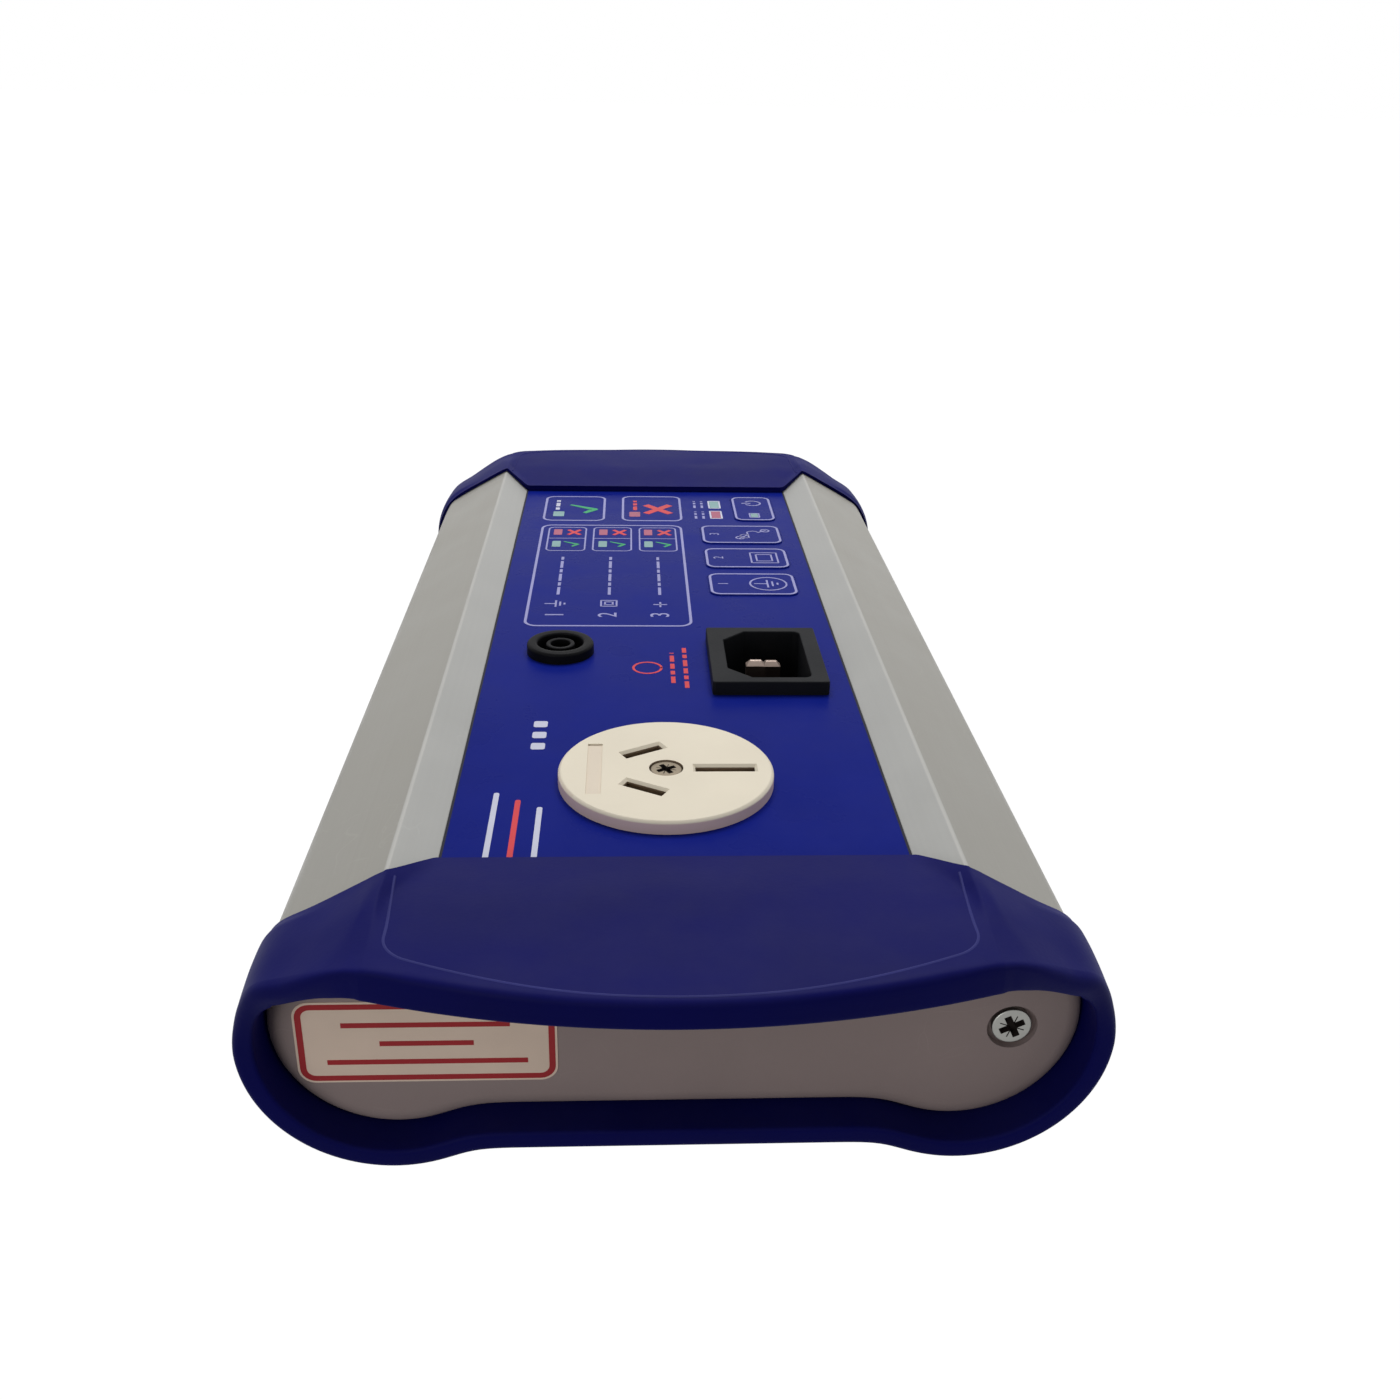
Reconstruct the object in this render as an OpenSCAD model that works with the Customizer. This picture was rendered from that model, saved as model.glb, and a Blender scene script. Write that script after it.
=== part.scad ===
// Handheld portable appliance tester: an extruded case tube between two moulded bumpers,
// with a recessed keypad panel, a round test outlet, a lead inlet and an earth jack.
// +Z is up, +Y runs towards the keypad end, and the origin lies on the table under the
// middle of the case. Lengths are in millimetres.

/* [Case tube] */
// Length of the extruded tube
tube_len = 230; // [226:1:250]
// Distance between the centres of the two side rounds
lobe_span = 86; // [85:0.5:88]
// Radius of the side rounds
lobe_r = 20.9; // [20.6:0.1:21.4]
// Height of the side rounds' centres above the table
lobe_z = 22; // [21.9:0.05:22.1]
// Height of the tube's flat underside between the side rounds
floor_z = 4.4; // [4:0.1:5]
// Distance between the two top ridges
ridge_span = 87.8; // [87:0.2:89]
// Height of the ridges above the table
ridge_z = 43; // [42.6:0.1:43.4]
// Slope of the flat shoulders outside the ridges, in degrees
shoulder_angle = 29.2; // [27:0.1:31]
// Thickness of the tube wall
tube_wall = 2.2; // [1.8:0.1:2.4]
// Thickness of the wall under the panel
bed_wall = 2.4; // [2:0.1:2.6]

/* [Board guides and screw channels] */
// Height of the main board's underside
board_z = 28; // [27.6:0.1:28.4]
// Depth of the grip that each guide has on the board's edge
guide_grip = 2.5; // [2:0.1:3]
// Thickness of each guide rib
guide_rib = 1.5; // [1.2:0.1:1.8]
// Running gap between a guide rib and the board
guide_gap = 0.2; // [0.15:0.05:0.3]
// Distance between the two end screws
end_screw_span = 101.6; // [100:0.2:103]
// Height of the end screws
end_screw_z = 20.8; // [20.2:0.1:21.2]
// Outer radius of the screw channels
channel_r = 3.5; // [3.2:0.1:3.8]
// Bore radius of the screw channels
channel_bore_r = 1.7; // [1.6:0.05:1.8]

/* [Bumpers] */
// Thickness of the bumper outside the tube
bumper_wall = 1.3; // [1.25:0.05:1.5]
// Gap between the bumper's sleeve and the tube
sleeve_gap = 0.15; // [0.1:0.05:0.2]
// Overlap of the lip over the panel
lip_overlap = 12; // [10:0.5:14]
// Overlap over the tube's shoulders
shoulder_overlap = 3.5; // [3:0.5:5]
// Overlap on the sides and underneath
side_overlap = 9; // [7:0.5:11]
// Thickness of the flange between the tube's end and the end plate
flange_t = 2; // [1.6:0.1:2.4]
// Width of that flange, measured inwards from the tube's outline
flange_w = 5.5; // [5:0.1:6]
// Reach of the rim beyond the tube's end
rim_reach = 10; // [9:0.5:12]
// Reach of the visor beyond the tube's end at its middle
visor_reach = 26.4; // [24:0.2:29]
// Height of the visor's underside
visor_z = 37.7; // [37.4:0.1:38]
// Height of the bumper's ridges at their mouth
crest_z = 44.3; // [44.2:0.1:44.8]
// Height of the visor's edge at its middle
visor_top_z = 42.9; // [42.7:0.1:43.2]
// Height of the lip over the panel
lip_rise = 1.4; // [1.2:0.1:1.8]
// Height of the pad between the bumper's ridges
pad_z = 42.7; // [42.4:0.1:42.8]
// Width of the flute that borders the pad
flute_w = 0.8; // [0.6:0.1:1.2]

/* [End plates] */
// Thickness of the end plates
plate_t = 3; // [2.8:0.1:3.6]
// Step from the tube's outline in to the plate's outline
plate_inset = 2.2; // [2:0.1:2.6]
// Gap around the plate inside the rim
plate_gap = 0.3; // [0.2:0.05:0.4]
// Width of the rounding on the plate's outer edge
plate_round = 2.1; // [1.5:0.1:2.4]
// Radius of the counterbores for the screws
counterbore_r = 3.9; // [3.7:0.05:4.1]
// Depth of those counterbores
counterbore_depth = 1.4; // [1.2:0.1:1.6]
// Radius of the end screws' heads
end_head_r = 3.1; // [2.8:0.05:3.3]
// Height of the end screws' heads
end_head_t = 1.3; // [1:0.1:1.4]
// Length of the end screws' shanks
end_shank_l = 12; // [10:0.5:16]
// Width of the blank seal label
label_w = 39; // [36:0.5:41]
// Height of the blank seal label
label_h = 14.8; // [13:0.2:16]
// Thickness of the blank seal label
label_t = 0.15; // [0.1:0.05:0.2]

/* [Panel and keypad] */
// Height of the panel's surface above the table
panel_z = 39.6; // [39.4:0.1:39.8]
// Width of the recess that holds the panel
panel_w = 74.8; // [74:0.1:75.2]
// Thickness of the printed overlay with its spacer
overlay_t = 0.7; // [0.6:0.05:0.8]
// Thickness of the membrane circuit
circuit_t = 0.3; // [0.2:0.05:0.4]
// Gap along the panel's edges
overlay_gap = 0.2; // [0.1:0.05:0.3]
// Length of the panel that runs under each bumper lip
overlay_tuck = 3; // [2:0.5:5]
// Width of the three long keys, across the case
key_w = 21.2; // [20:0.1:22]
// Length of the three long keys, along the case
key_l = 15; // [14:0.1:16]
// Distance from the case's middle plane to the long keys' centres
key_x = 22; // [21:0.1:22.6]
// Distance from the tube's keypad end back to the first long key
key_setback = 90.9; // [90:0.1:92]
// Distance from one long key to the next
key_pitch = 19.2; // [18.5:0.1:19.8]
// Width of the power key, across the case
power_w = 11.4; // [10.5:0.1:12]
// Length of the power key, along the case
power_l = 22.2; // [21:0.1:22.6]
// Gap around each key
key_gap = 0.3; // [0.25:0.05:0.4]
// Height of the embossing above the panel
key_rise = 0.3; // [0.25:0.05:0.35]
// Travel of a key
key_travel = 0.3; // [0.25:0.05:0.3]
// Radius of the metal domes under the keys
dome_r = 4; // [3.5:0.1:4.5]
// Height of the metal domes
dome_t = 0.15; // [0.1:0.05:0.15]

/* [Status lamps] */
// Width of a lamp's lens
lamp_w = 2.2; // [2:0.1:2.5]
// Length of a lamp's lens
lamp_l = 5; // [4.6:0.1:5.4]
// Height of a lamp's lens
lamp_h = 6.5; // [6:0.1:7]
// Distance between two results, across the case
result_pitch = 12; // [11.6:0.1:12.4]
// Distance from the tube's keypad end back to the red result lamps
red_lamp_setback = 50.6; // [49:0.1:52]
// Distance from the tube's keypad end back to the green result lamps
green_lamp_setback = 60.5; // [59:0.1:62]

/* [Test outlet] */
// Place of the outlet across the case
outlet_x = -1.2; // [-3:0.1:0]
// Distance from the tube's outlet end to the outlet
outlet_setback = 40; // [37:0.5:42]
// Radius of the outlet's face plate
outlet_r = 18.8; // [18.4:0.1:19.2]
// Thickness of the outlet's face plate
outlet_t = 2.4; // [2.2:0.1:2.8]
// Radius of the panel hole under the outlet
outlet_hole_r = 15.2; // [14.8:0.1:15.4]
// Depth of the outlet's body below the panel
outlet_depth = 21; // [20.4:0.1:22]
// Length of the two line slots
line_slot_l = 7.6; // [7:0.1:8]
// Length of the earth slot
earth_slot_l = 10.4; // [10:0.1:10.8]
// Width of all slots
slot_w = 2; // [1.9:0.05:2.2]
// Thickness of the contact leaves
leaf_t = 0.5; // [0.4:0.05:0.5]

/* [Lead inlet] */
// Place of the inlet across the case
inlet_x = 20.6; // [20:0.1:21]
// Place of the inlet along the case
inlet_y = -25; // [-27:0.5:-24]
// Width of the inlet's flange, across the case
inlet_flange_w = 23.4; // [23:0.1:24]
// Length of the inlet's flange, along the case
inlet_flange_l = 29; // [28.6:0.1:30]
// Thickness of the inlet's flange
inlet_flange_t = 2.9; // [2.6:0.1:3.2]
// Width of the inlet's body
inlet_body_w = 19.8; // [19.6:0.1:20]
// Length of the inlet's body
inlet_body_l = 27; // [26.8:0.1:27.2]
// Depth of the inlet's body below the panel
inlet_depth = 18; // [17.5:0.1:18.5]
// Gap around the inlet's body in the panel
inlet_gap = 0.2; // [0.15:0.05:0.3]
// Width of the inlet's cavity
cavity_w = 16.6; // [16.4:0.1:16.8]
// Length of the inlet's cavity
cavity_l = 24.2; // [24:0.1:24.4]
// Depth of the inlet's cavity from its mouth
cavity_depth = 17; // [16.5:0.1:17.5]
// Bevel of the cavity's two corners on the earth side
cavity_bevel = 4.7; // [4.4:0.1:5]
// Radius of the cavity's two corners on the line side
cavity_round = 1.5; // [1:0.1:2]
// Distance between the two line pins
line_pin_pitch = 14; // [13.8:0.1:14.2]
// Offset of the earth pin from the line pins
earth_pin_offset = 4; // [3.8:0.1:4.2]
// Width of a pin, across the case
pin_w = 4; // [3.8:0.1:4.2]
// Thickness of a pin, along the case
pin_t = 2; // [1.9:0.05:2.1]
// Depth of the line pins' tips below the mouth
line_tip_depth = 5.2; // [4.8:0.1:5.6]
// Depth of the earth pin's tip below the mouth
earth_tip_depth = 2.1; // [1.8:0.1:2.6]

/* [Earth jack] */
// Place of the jack across the case
jack_x = -22.2; // [-23:0.1:-21.6]
// Place of the jack along the case
jack_y = -17.4; // [-19:0.1:-16]
// Radius of the jack's flange
jack_flange_r = 7; // [6.8:0.1:7.2]
// Thickness of the jack's flange
jack_flange_t = 2.1; // [1.9:0.1:2.3]
// Radius of the jack's threaded barrel
jack_barrel_r = 5.9; // [5.8:0.05:6]
// Length of the barrel below the panel
jack_barrel_l = 19; // [18:0.5:20]
// Outer radius of the guard groove
guard_r = 4.8; // [4.7:0.05:4.9]
// Outer radius of the sleeve around the bore
sleeve_r = 3.1; // [3:0.05:3.2]
// Bore radius of the metal socket
socket_bore_r = 2; // [1.95:0.05:2.05]
// Outer radius of the metal socket
socket_r = 2.7; // [2.6:0.05:2.8]
// Depth of the metal socket's mouth below the flange
socket_recess = 5.3; // [4.3:0.2:6.3]

/* [Inside the case] */
// Thickness of the main board
board_t = 1.6; // [1.5:0.05:1.7]
// Length of the main board
board_l = 108; // [104:1:109]
// Gap between the board's end and the end plate
board_end_gap = 0.5; // [0.3:0.1:1]
// Radius of a battery cell
cell_r = 7.1; // [7:0.05:7.2]
// Length of a battery cell's can
cell_l = 49.2; // [48.8:0.1:49.5]
// Wall of the battery tray
tray_wall = 1.2; // [1:0.1:1.3]
// Thickness of the foam pad under the tray
foam_t = 1; // [0.8:0.1:1.2]
// Radius of an insulated lead
lead_r = 1.2; // [1:0.1:1.3]

/* [Hidden] */
$fn = 72;

// Small overlap that lets a cut pass right through a face
cut = 1;
// Gap between inner parts that lie side by side
near = 0.1;

// Places worked out from the tube's section
lobe_x = lobe_span / 2;
ridge_x = ridge_span / 2;
panel_hw = panel_w / 2;
bed_z = panel_z - overlay_t - circuit_t;
ceiling_z = bed_z - bed_wall;
floor_top = floor_z + tube_wall;
tube_end = tube_len / 2;
half_w = lobe_x + lobe_r;
facet_slope = (ridge_z - panel_z) / (ridge_x - panel_hw);
facet_angle = atan(facet_slope);

// Heights of the shoulder line and places along it, for an outline grown by g
function shoulder_z(x, g) =
    ridge_z + g / cos(shoulder_angle) - (x - ridge_x) * tan(shoulder_angle);
function shoulder_x(z, g) =
    ridge_x + (ridge_z + g / cos(shoulder_angle) - z) / tan(shoulder_angle);

// Corner of the ridge, and foot of its inner facet, for an outline grown by g
function facet_z(x, g) = ridge_z + g / cos(facet_angle) - (ridge_x - x) * facet_slope;
function ridge_corner(g) =
    let (dx = g * (1 / cos(shoulder_angle) - 1 / cos(facet_angle))
            / (facet_slope + tan(shoulder_angle)))
    [ridge_x + dx, facet_z(ridge_x + dx, g)];
function facet_foot(g) = ridge_x - (ridge_z + g / cos(facet_angle) - panel_z - g) / facet_slope;

// Distances from the case's middle to the steps of a bumper and its end plate
plate_back = tube_end + flange_t;
plate_front = plate_back + plate_t;
rim_end = tube_end + rim_reach;
visor_end = tube_end + visor_reach;
lip_start = tube_end - lip_overlap;
shoulder_start = tube_end - shoulder_overlap;
side_start = tube_end - side_overlap;
bumper_hw = half_w + bumper_wall;

// Radius of the visor's bowed edge, which meets the rim at the sides
bow = visor_end - rim_end;
visor_r = (bumper_hw * bumper_hw + bow * bow) / (2 * bow);

// Outline of the two side rounds and the block between them, grown by g
module rounds(g) {
    for (side = [-1, 1])
        translate([side * lobe_x, lobe_z])
            rotate(side > 0 ? 180 : 0)
                circle(r = lobe_r + g);
    translate([-lobe_x, floor_z - g])
        square([lobe_span, ridge_z + 2 * tube_wall - floor_z + g]);
}

// Area below the shoulders, closed by a level roof
function level_roof(g, roof) =
    let (far = half_w + g + cut, x = shoulder_x(roof, g), low = shoulder_z(far, g))
    [[-far, -cut], [far, -cut], [far, low], [x, roof], [-x, roof], [-far, low]];

// Area below the shoulders, the ridges and the trough between them
function ridged_roof(g) =
    let (far = half_w + g + cut, low = shoulder_z(far, g), top = ridge_corner(g),
         foot = facet_foot(g), sunk = panel_z + g)
    [[-far, -cut], [far, -cut], [far, low], top, [foot, sunk],
     [-foot, sunk], [-top[0], top[1]], [-far, low]];

module ridged_section(g) {
    intersection() {
        rounds(g);
        polygon(ridged_roof(g));
    }
}

module level_section(g, roof) {
    intersection() {
        rounds(g);
        polygon(level_roof(g, roof));
    }
}

// Lays a section drawn across the case along Y, from one distance to another
module along(from, to) {
    translate([0, to, 0])
        rotate([90, 0, 0])
            linear_extrude(to - from)
                children();
}

// Turns what is drawn for the keypad end round to the outlet end
module front_end() {
    rotate([0, 0, 180])
        children();
}

module rounded_rect(w, l, r) {
    for (x = [-1, 1], y = [-1, 1])
        translate([x * (w / 2 - r), y * (l / 2 - r)])
            circle(r = r, $fn = 32);
    square([w - 2 * r, l], center = true);
    square([w, l - 2 * r], center = true);
}

/* Case tube, with board guides and screw channels inside it */

channel_x = end_screw_span / 2;
board_top = board_z + board_t;
guide_z = board_z + board_t / 2;
inner_r = lobe_r - tube_wall;
inner_x = lobe_x + sqrt(inner_r * inner_r - pow(guide_z - lobe_z, 2));
board_hw = inner_x - 2 * guide_gap - guide_grip / 2;
guide_x = board_hw - guide_grip;

module guide_ribs() {
    rib_z = [board_z - guide_rib, board_top + guide_gap];
    for (side = [0, 1], z = rib_z)
        mirror([side, 0])
            translate([guide_x, z])
                square([half_w - guide_x, guide_rib]);
}

module channel_rings() {
    web = 2;
    for (side = [0, 1])
        mirror([side, 0]) {
            translate([channel_x, end_screw_z])
                circle(r = channel_r);
            translate([channel_x, end_screw_z - web / 2])
                square([half_w - channel_x, web]);
        }
}

module channel_bores() {
    for (side = [-1, 1])
        translate([side * channel_x, end_screw_z])
            circle(r = channel_bore_r);
}

module cavity_section() {
    difference() {
        intersection() {
            rounds(-tube_wall);
            polygon(ridged_roof(-tube_wall));
        }
        translate([-panel_hw - tube_wall, ceiling_z])
            square([panel_w + 2 * tube_wall, ridge_z]);
        guide_ribs();
        channel_rings();
    }
}

lamp_slot_gap = 0.3;
tail_w = 12;
tail_slot_l = 2;
tail_setback = 15;
tail_y = tube_end - tail_setback;

module lamp_places(places) {
    for (p = places)
        translate(p)
            children();
}

// Places along the case that follow its two ends
key_y = tube_end - key_setback;
red_lamp_y = tube_end - red_lamp_setback;
green_lamp_y = tube_end - green_lamp_setback;
outlet_y = outlet_setback - tube_end;
verdict_setback = 34.4;
power_lamp_setback = 35.8;
power_setback = 29.1;

result_x = -26.6;
pass_lamp = [-27.2, tube_end - verdict_setback];
fail_lamp = [-6.2, tube_end - verdict_setback];
power_lamp = [27, tube_end - power_lamp_setback];
green_lamps = concat([pass_lamp, power_lamp],
    [for (i = [0:2]) [result_x + i * result_pitch, green_lamp_y]]);
red_lamps = concat([fail_lamp],
    [for (i = [0:2]) [result_x + i * result_pitch, red_lamp_y]]);

// Openings that the panel's wall and its films share
module fitting_holes(gap) {
    translate([outlet_x, outlet_y])
        circle(r = outlet_hole_r + gap);
    translate([inlet_x, inlet_y])
        square([inlet_body_w + 2 * (inlet_gap + gap), inlet_body_l + 2 * (inlet_gap + gap)],
            center = true);
    translate([jack_x, jack_y])
        circle(r = jack_barrel_r + inlet_gap + gap);
}

module lamp_slots(gap) {
    lamp_places(concat(green_lamps, red_lamps))
        square([lamp_w + 2 * gap, lamp_l + 2 * gap], center = true);
}

tail_x = 0;

module case_tube() {
    color([0.72, 0.71, 0.68])
    difference() {
        along(-tube_end, tube_end)
            difference() {
                ridged_section(0);
                cavity_section();
                channel_bores();
                translate([-panel_hw, bed_z])
                    square([panel_w, ridge_z - bed_z]);
            }
        translate([0, 0, ceiling_z - cut])
            linear_extrude(bed_wall + 2 * cut) {
                fitting_holes(0);
                lamp_slots(lamp_slot_gap);
                translate([tail_x, tail_y])
                    square([tail_w + 1, tail_slot_l], center = true);
            }
    }
}

/* Bumpers, drawn for the keypad end */

module plate_section(gap) {
    level_section(gap - plate_inset, visor_z - plate_gap + gap);
}

// Plan of the upper half: lip, diagonals over the facets, shoulders and bowed visor
module bumper_plan() {
    far = bumper_hw + cut;
    intersection() {
        translate([0, visor_end - visor_r])
            circle(r = visor_r, $fn = 180);
        difference() {
            translate([-far, side_start])
                square([2 * far, visor_end]);
            translate([-far, side_start - cut])
                square([2 * far, shoulder_start - side_start + cut]);
        }
    }
}

module lip_plan() {
    foot = panel_hw;
    polygon([[-foot, lip_start], [foot, lip_start], [ridge_x, shoulder_start],
        [ridge_x, shoulder_start + cut], [-ridge_x, shoulder_start + cut],
        [-ridge_x, shoulder_start]]);
}

// Rounded corner of the mouth where the shoulder's edge runs down to the side
module mouth_corner() {
    land = 0.6;
    inner = lobe_x + lobe_r / 2;
    w = bumper_hw - inner - land;
    depth = shoulder_start - side_start;
    r = (w * w + depth * depth) / (2 * depth);
    for (side = [0, 1])
        mirror([side, 0])
            difference() {
                translate([inner, side_start])
                    square([w + land + cut, depth + cut]);
                translate([inner, shoulder_start - r])
                    circle(r = r, $fn = 180);
            }
}

// Hollow between the ridges: it rises from the lip, then runs level to the visor's edge
module pad_dish() {
    low = panel_z + lip_rise;
    over = crest_z + cut;
    rise_end = shoulder_start + lip_overlap;
    pad_w = ridge_span - 4;
    hull() {
        translate([-panel_hw, lip_start - cut, low])
            cube([panel_w, cut, cut]);
        translate([-ridge_x, lip_start - cut, over])
            cube([ridge_span, cut, cut]);
        translate([-pad_w / 2, rise_end, pad_z])
            cube([pad_w, cut, cut]);
        translate([-ridge_x, rise_end, over])
            cube([ridge_span, cut, cut]);
    }
    hull() {
        translate([-pad_w / 2, rise_end, pad_z])
            cube([pad_w, visor_end - rise_end + cut, cut]);
        translate([-ridge_x, rise_end, over])
            cube([ridge_span, visor_end - rise_end + cut, cut]);
    }
}

// Fall of the ridges from the plate towards the visor's edge
module crown_cut() {
    fall = atan((crest_z - visor_top_z) / (visor_end - plate_front));
    translate([-bumper_hw - cut, plate_front, crest_z])
        rotate([-fall, 0, 0])
            cube([2 * (bumper_hw + cut), visor_reach + cut, crest_z]);
}

pad_edge = 1.6;

module pad_plan(inset) {
    w = 2 * (ridge_x - 2 - inset);
    r = visor_r - pad_edge - inset;
    intersection() {
        translate([0, visor_end - visor_r])
            circle(r = r, $fn = 180);
        translate([-w / 2, lip_start])
            square([w, visor_end - lip_start]);
    }
}

module pad_flute() {
    difference() {
        pad_plan(0);
        pad_plan(flute_w);
        translate([-ridge_x, 0])
            square([ridge_span, shoulder_start]);
    }
}

module bumper() {
    lift = crest_z + cut;
    difference() {
        intersection() {
            along(lip_start, visor_end + cut)
                level_section(bumper_wall, crest_z);
            union() {
                translate([0, 0, lobe_z])
                    linear_extrude(lift) {
                        bumper_plan();
                        lip_plan();
                        mouth_corner();
                    }
                translate([-bumper_hw - cut, side_start, 0])
                    cube([2 * (bumper_hw + cut), rim_end - side_start, lobe_z]);
            }
        }
        along(lip_start - cut, tube_end)
            ridged_section(sleeve_gap);
        along(tube_end - cut, visor_end + cut)
            level_section(-flange_w, visor_z - plate_gap - flange_w / 2);
        along(plate_back, visor_end + cut)
            plate_section(plate_gap);
        pad_dish();
        crown_cut();
        translate([0, 0, pad_z - flute_w / 2])
            linear_extrude(lift)
                pad_flute();
    }
}

module front_bumper() {
    color([0.12, 0.11, 0.42])
        front_end()
            bumper();
}

module rear_bumper() {
    color([0.12, 0.11, 0.42])
        bumper();
}

/* End plates and their screws, drawn for the keypad end */

// Slab whose outer edge rounds over in steps of growing slope
module domed_slab() {
    steps = 3;
    straight = plate_t - plate_round * 0.7;
    along(plate_back, plate_back + straight)
        plate_section(0);
    along(plate_back, plate_front)
        plate_section(-plate_round - near);
    for (i = [0:steps - 1]) {
        a = 90 * i / steps;
        b = 90 * (i + 1) / steps;
        rise = plate_t - straight;
        y = plate_back + straight + rise * sin(a);
        w = half_w - plate_inset;
        s0 = (w - plate_round * (1 - cos(a))) / w;
        s1 = (w - plate_round * (1 - cos(b))) / w;
        translate([0, y, visor_z / 2])
            rotate([90, 0, 180])
                linear_extrude(rise * (sin(b) - sin(a)), scale = s1 / s0)
                    scale(s0)
                        translate([0, -visor_z / 2])
                            plate_section(0);
    }
}

module end_plate() {
    difference() {
        union() {
            domed_slab();
            along(tube_end, plate_back)
                level_section(-flange_w - plate_gap, visor_z - flange_w / 2 - 2 * plate_gap);
        }
        for (side = [-1, 1])
            translate([side * channel_x, 0, end_screw_z]) {
                along(tube_end - cut, plate_front + cut)
                    circle(r = channel_bore_r + plate_gap);
                along(plate_front - counterbore_depth, plate_front + cut)
                    circle(r = counterbore_r);
            }
    }
}

module front_end_plate() {
    color([0.6, 0.57, 0.55])
        front_end()
            end_plate();
}

module rear_end_plate() {
    color([0.6, 0.57, 0.55])
        end_plate();
}

module cross_recess(r, depth) {
    arm = r * 0.32;
    rotate(30)
        for (turn = [0, 90])
            rotate(turn)
                translate([-r * 0.62, -arm / 2, -depth])
                    cube([r * 1.24, arm, depth + cut]);
}

// Pan-head screw with its axis on Z, the head's underside at zero and the shank below
module screw(head_r, head_t, shank_r, shank_l) {
    crown = head_t * 0.35;
    point = shank_r;
    difference() {
        union() {
            cylinder(r = head_r, h = head_t - crown);
            translate([0, 0, head_t - crown])
                cylinder(r1 = head_r, r2 = head_r * 0.85, h = crown);
            translate([0, 0, point - shank_l])
                cylinder(r = shank_r, h = shank_l - point);
            translate([0, 0, -shank_l])
                cylinder(r1 = shank_r * 0.4, r2 = shank_r, h = point);
        }
        translate([0, 0, head_t])
            cross_recess(head_r, head_t * 0.7);
    }
}

module end_screws() {
    for (side = [-1, 1])
        translate([side * channel_x, plate_front - counterbore_depth, end_screw_z])
            rotate([-90, 0, 0])
                screw(end_head_r, end_head_t, channel_bore_r - near / 2, end_shank_l);
}

module front_end_screws() {
    color([0.55, 0.55, 0.56])
        front_end()
            end_screws();
}

module rear_end_screws() {
    color([0.55, 0.55, 0.56])
        end_screws();
}

label_x = -37.9;
label_z = 19.5;

module seal_label() {
    color([0.85, 0.8, 0.74])
        translate([label_x, -plate_front, label_z])
            rotate([90, 0, 0])
                linear_extrude(label_t)
                    rounded_rect(label_w, label_h, 2.6);
}

/* Panel films and keys */

panel_hl = lip_start + overlay_tuck;
key_places = [for (i = [0:2]) [key_x, key_y + i * key_pitch]];
power_place = [27, tube_end - power_setback];

// A pressed key stops this far above its dome, so the travel sets its thickness
key_stop = 0.05;
key_t = overlay_t + key_rise - dome_t - key_travel - key_stop;

module panel_sheet() {
    difference() {
        square([panel_w - 2 * overlay_gap, 2 * panel_hl], center = true);
        fitting_holes(overlay_gap);
    }
}

module panel_overlay() {
    color([0.13, 0.12, 0.5])
        translate([0, 0, panel_z - overlay_t])
            linear_extrude(overlay_t)
                difference() {
                    panel_sheet();
                    for (p = key_places)
                        translate(p)
                            rounded_rect(key_w + 2 * key_gap, key_l + 2 * key_gap, 3);
                    translate(power_place)
                        rounded_rect(power_w + 2 * key_gap, power_l + 2 * key_gap, 3);
                }
}

module membrane_circuit() {
    color([0.75, 0.72, 0.6])
        translate([0, 0, bed_z])
            linear_extrude(circuit_t)
                difference() {
                    panel_sheet();
                    lamp_slots(lamp_slot_gap);
                }
}

module key(place, w, l) {
    lip = 0.3;
    top = panel_z + key_rise;
    color([0.14, 0.13, 0.52])
        translate([place[0], place[1], top - key_t]) {
            linear_extrude(key_t - key_rise / 2)
                rounded_rect(w, l, 2.7);
            translate([0, 0, key_t - key_rise / 2])
                linear_extrude(key_rise / 2)
                    rounded_rect(w - lip, l - lip, 2.5);
        }
}

module power_key() {
    key(power_place, power_w, power_l);
}

module key_domes() {
    power_dome = [power_place[0], power_place[1] + 4];
    color([0.75, 0.75, 0.72])
        for (p = concat(key_places, [power_dome]))
            translate([p[0], p[1], bed_z + circuit_t])
                cylinder(r1 = dome_r, r2 = dome_r - 1, h = dome_t);
}

tail_t = 0.3;
connector_h = 3;
connector_l = 4;

module keypad_tail() {
    color([0.8, 0.55, 0.2])
        translate([tail_x - tail_w / 2, tail_y - tail_t / 2, board_top + connector_h / 2])
            cube([tail_w, tail_t, bed_z - board_top - connector_h / 2]);
}

module keypad_connector() {
    side = 1.5;
    slot = near + tail_t / 2;
    color([0.92, 0.9, 0.85])
        difference() {
            translate([tail_x - tail_w / 2 - side, tail_y - connector_l / 2, board_top])
                cube([tail_w + 2 * side, connector_l, connector_h]);
            translate([tail_x - tail_w / 2 - near, tail_y - slot, board_top + connector_h / 2])
                cube([tail_w + 2 * near, 2 * slot, connector_h]);
        }
}

/* Status lamps: rectangular lenses on a collar, with two legs down to the board */

module lamp() {
    top = bed_z + circuit_t - near;
    collar = 1;
    collar_grow = 0.2;
    leg = 0.5;
    lens_z = top - lamp_h;
    translate([-lamp_w / 2, -lamp_l / 2, lens_z])
        cube([lamp_w, lamp_l, lamp_h]);
    translate([-lamp_w / 2 - collar_grow, -lamp_l / 2 - collar_grow, lens_z])
        cube([lamp_w + 2 * collar_grow, lamp_l + 2 * collar_grow, collar]);
    for (side = [-1, 1])
        translate([-leg / 2, side * 1.27 - leg / 2, board_top])
            cube([leg, leg, lens_z - board_top]);
}

module lamps_green() {
    color([0.55, 0.8, 0.6])
        lamp_places(green_lamps)
            lamp();
}

module lamps_red() {
    color([0.85, 0.4, 0.4])
        lamp_places(red_lamps)
            lamp();
}

/* Test outlet: flat-pin pattern with the earth slot towards +X */

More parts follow.
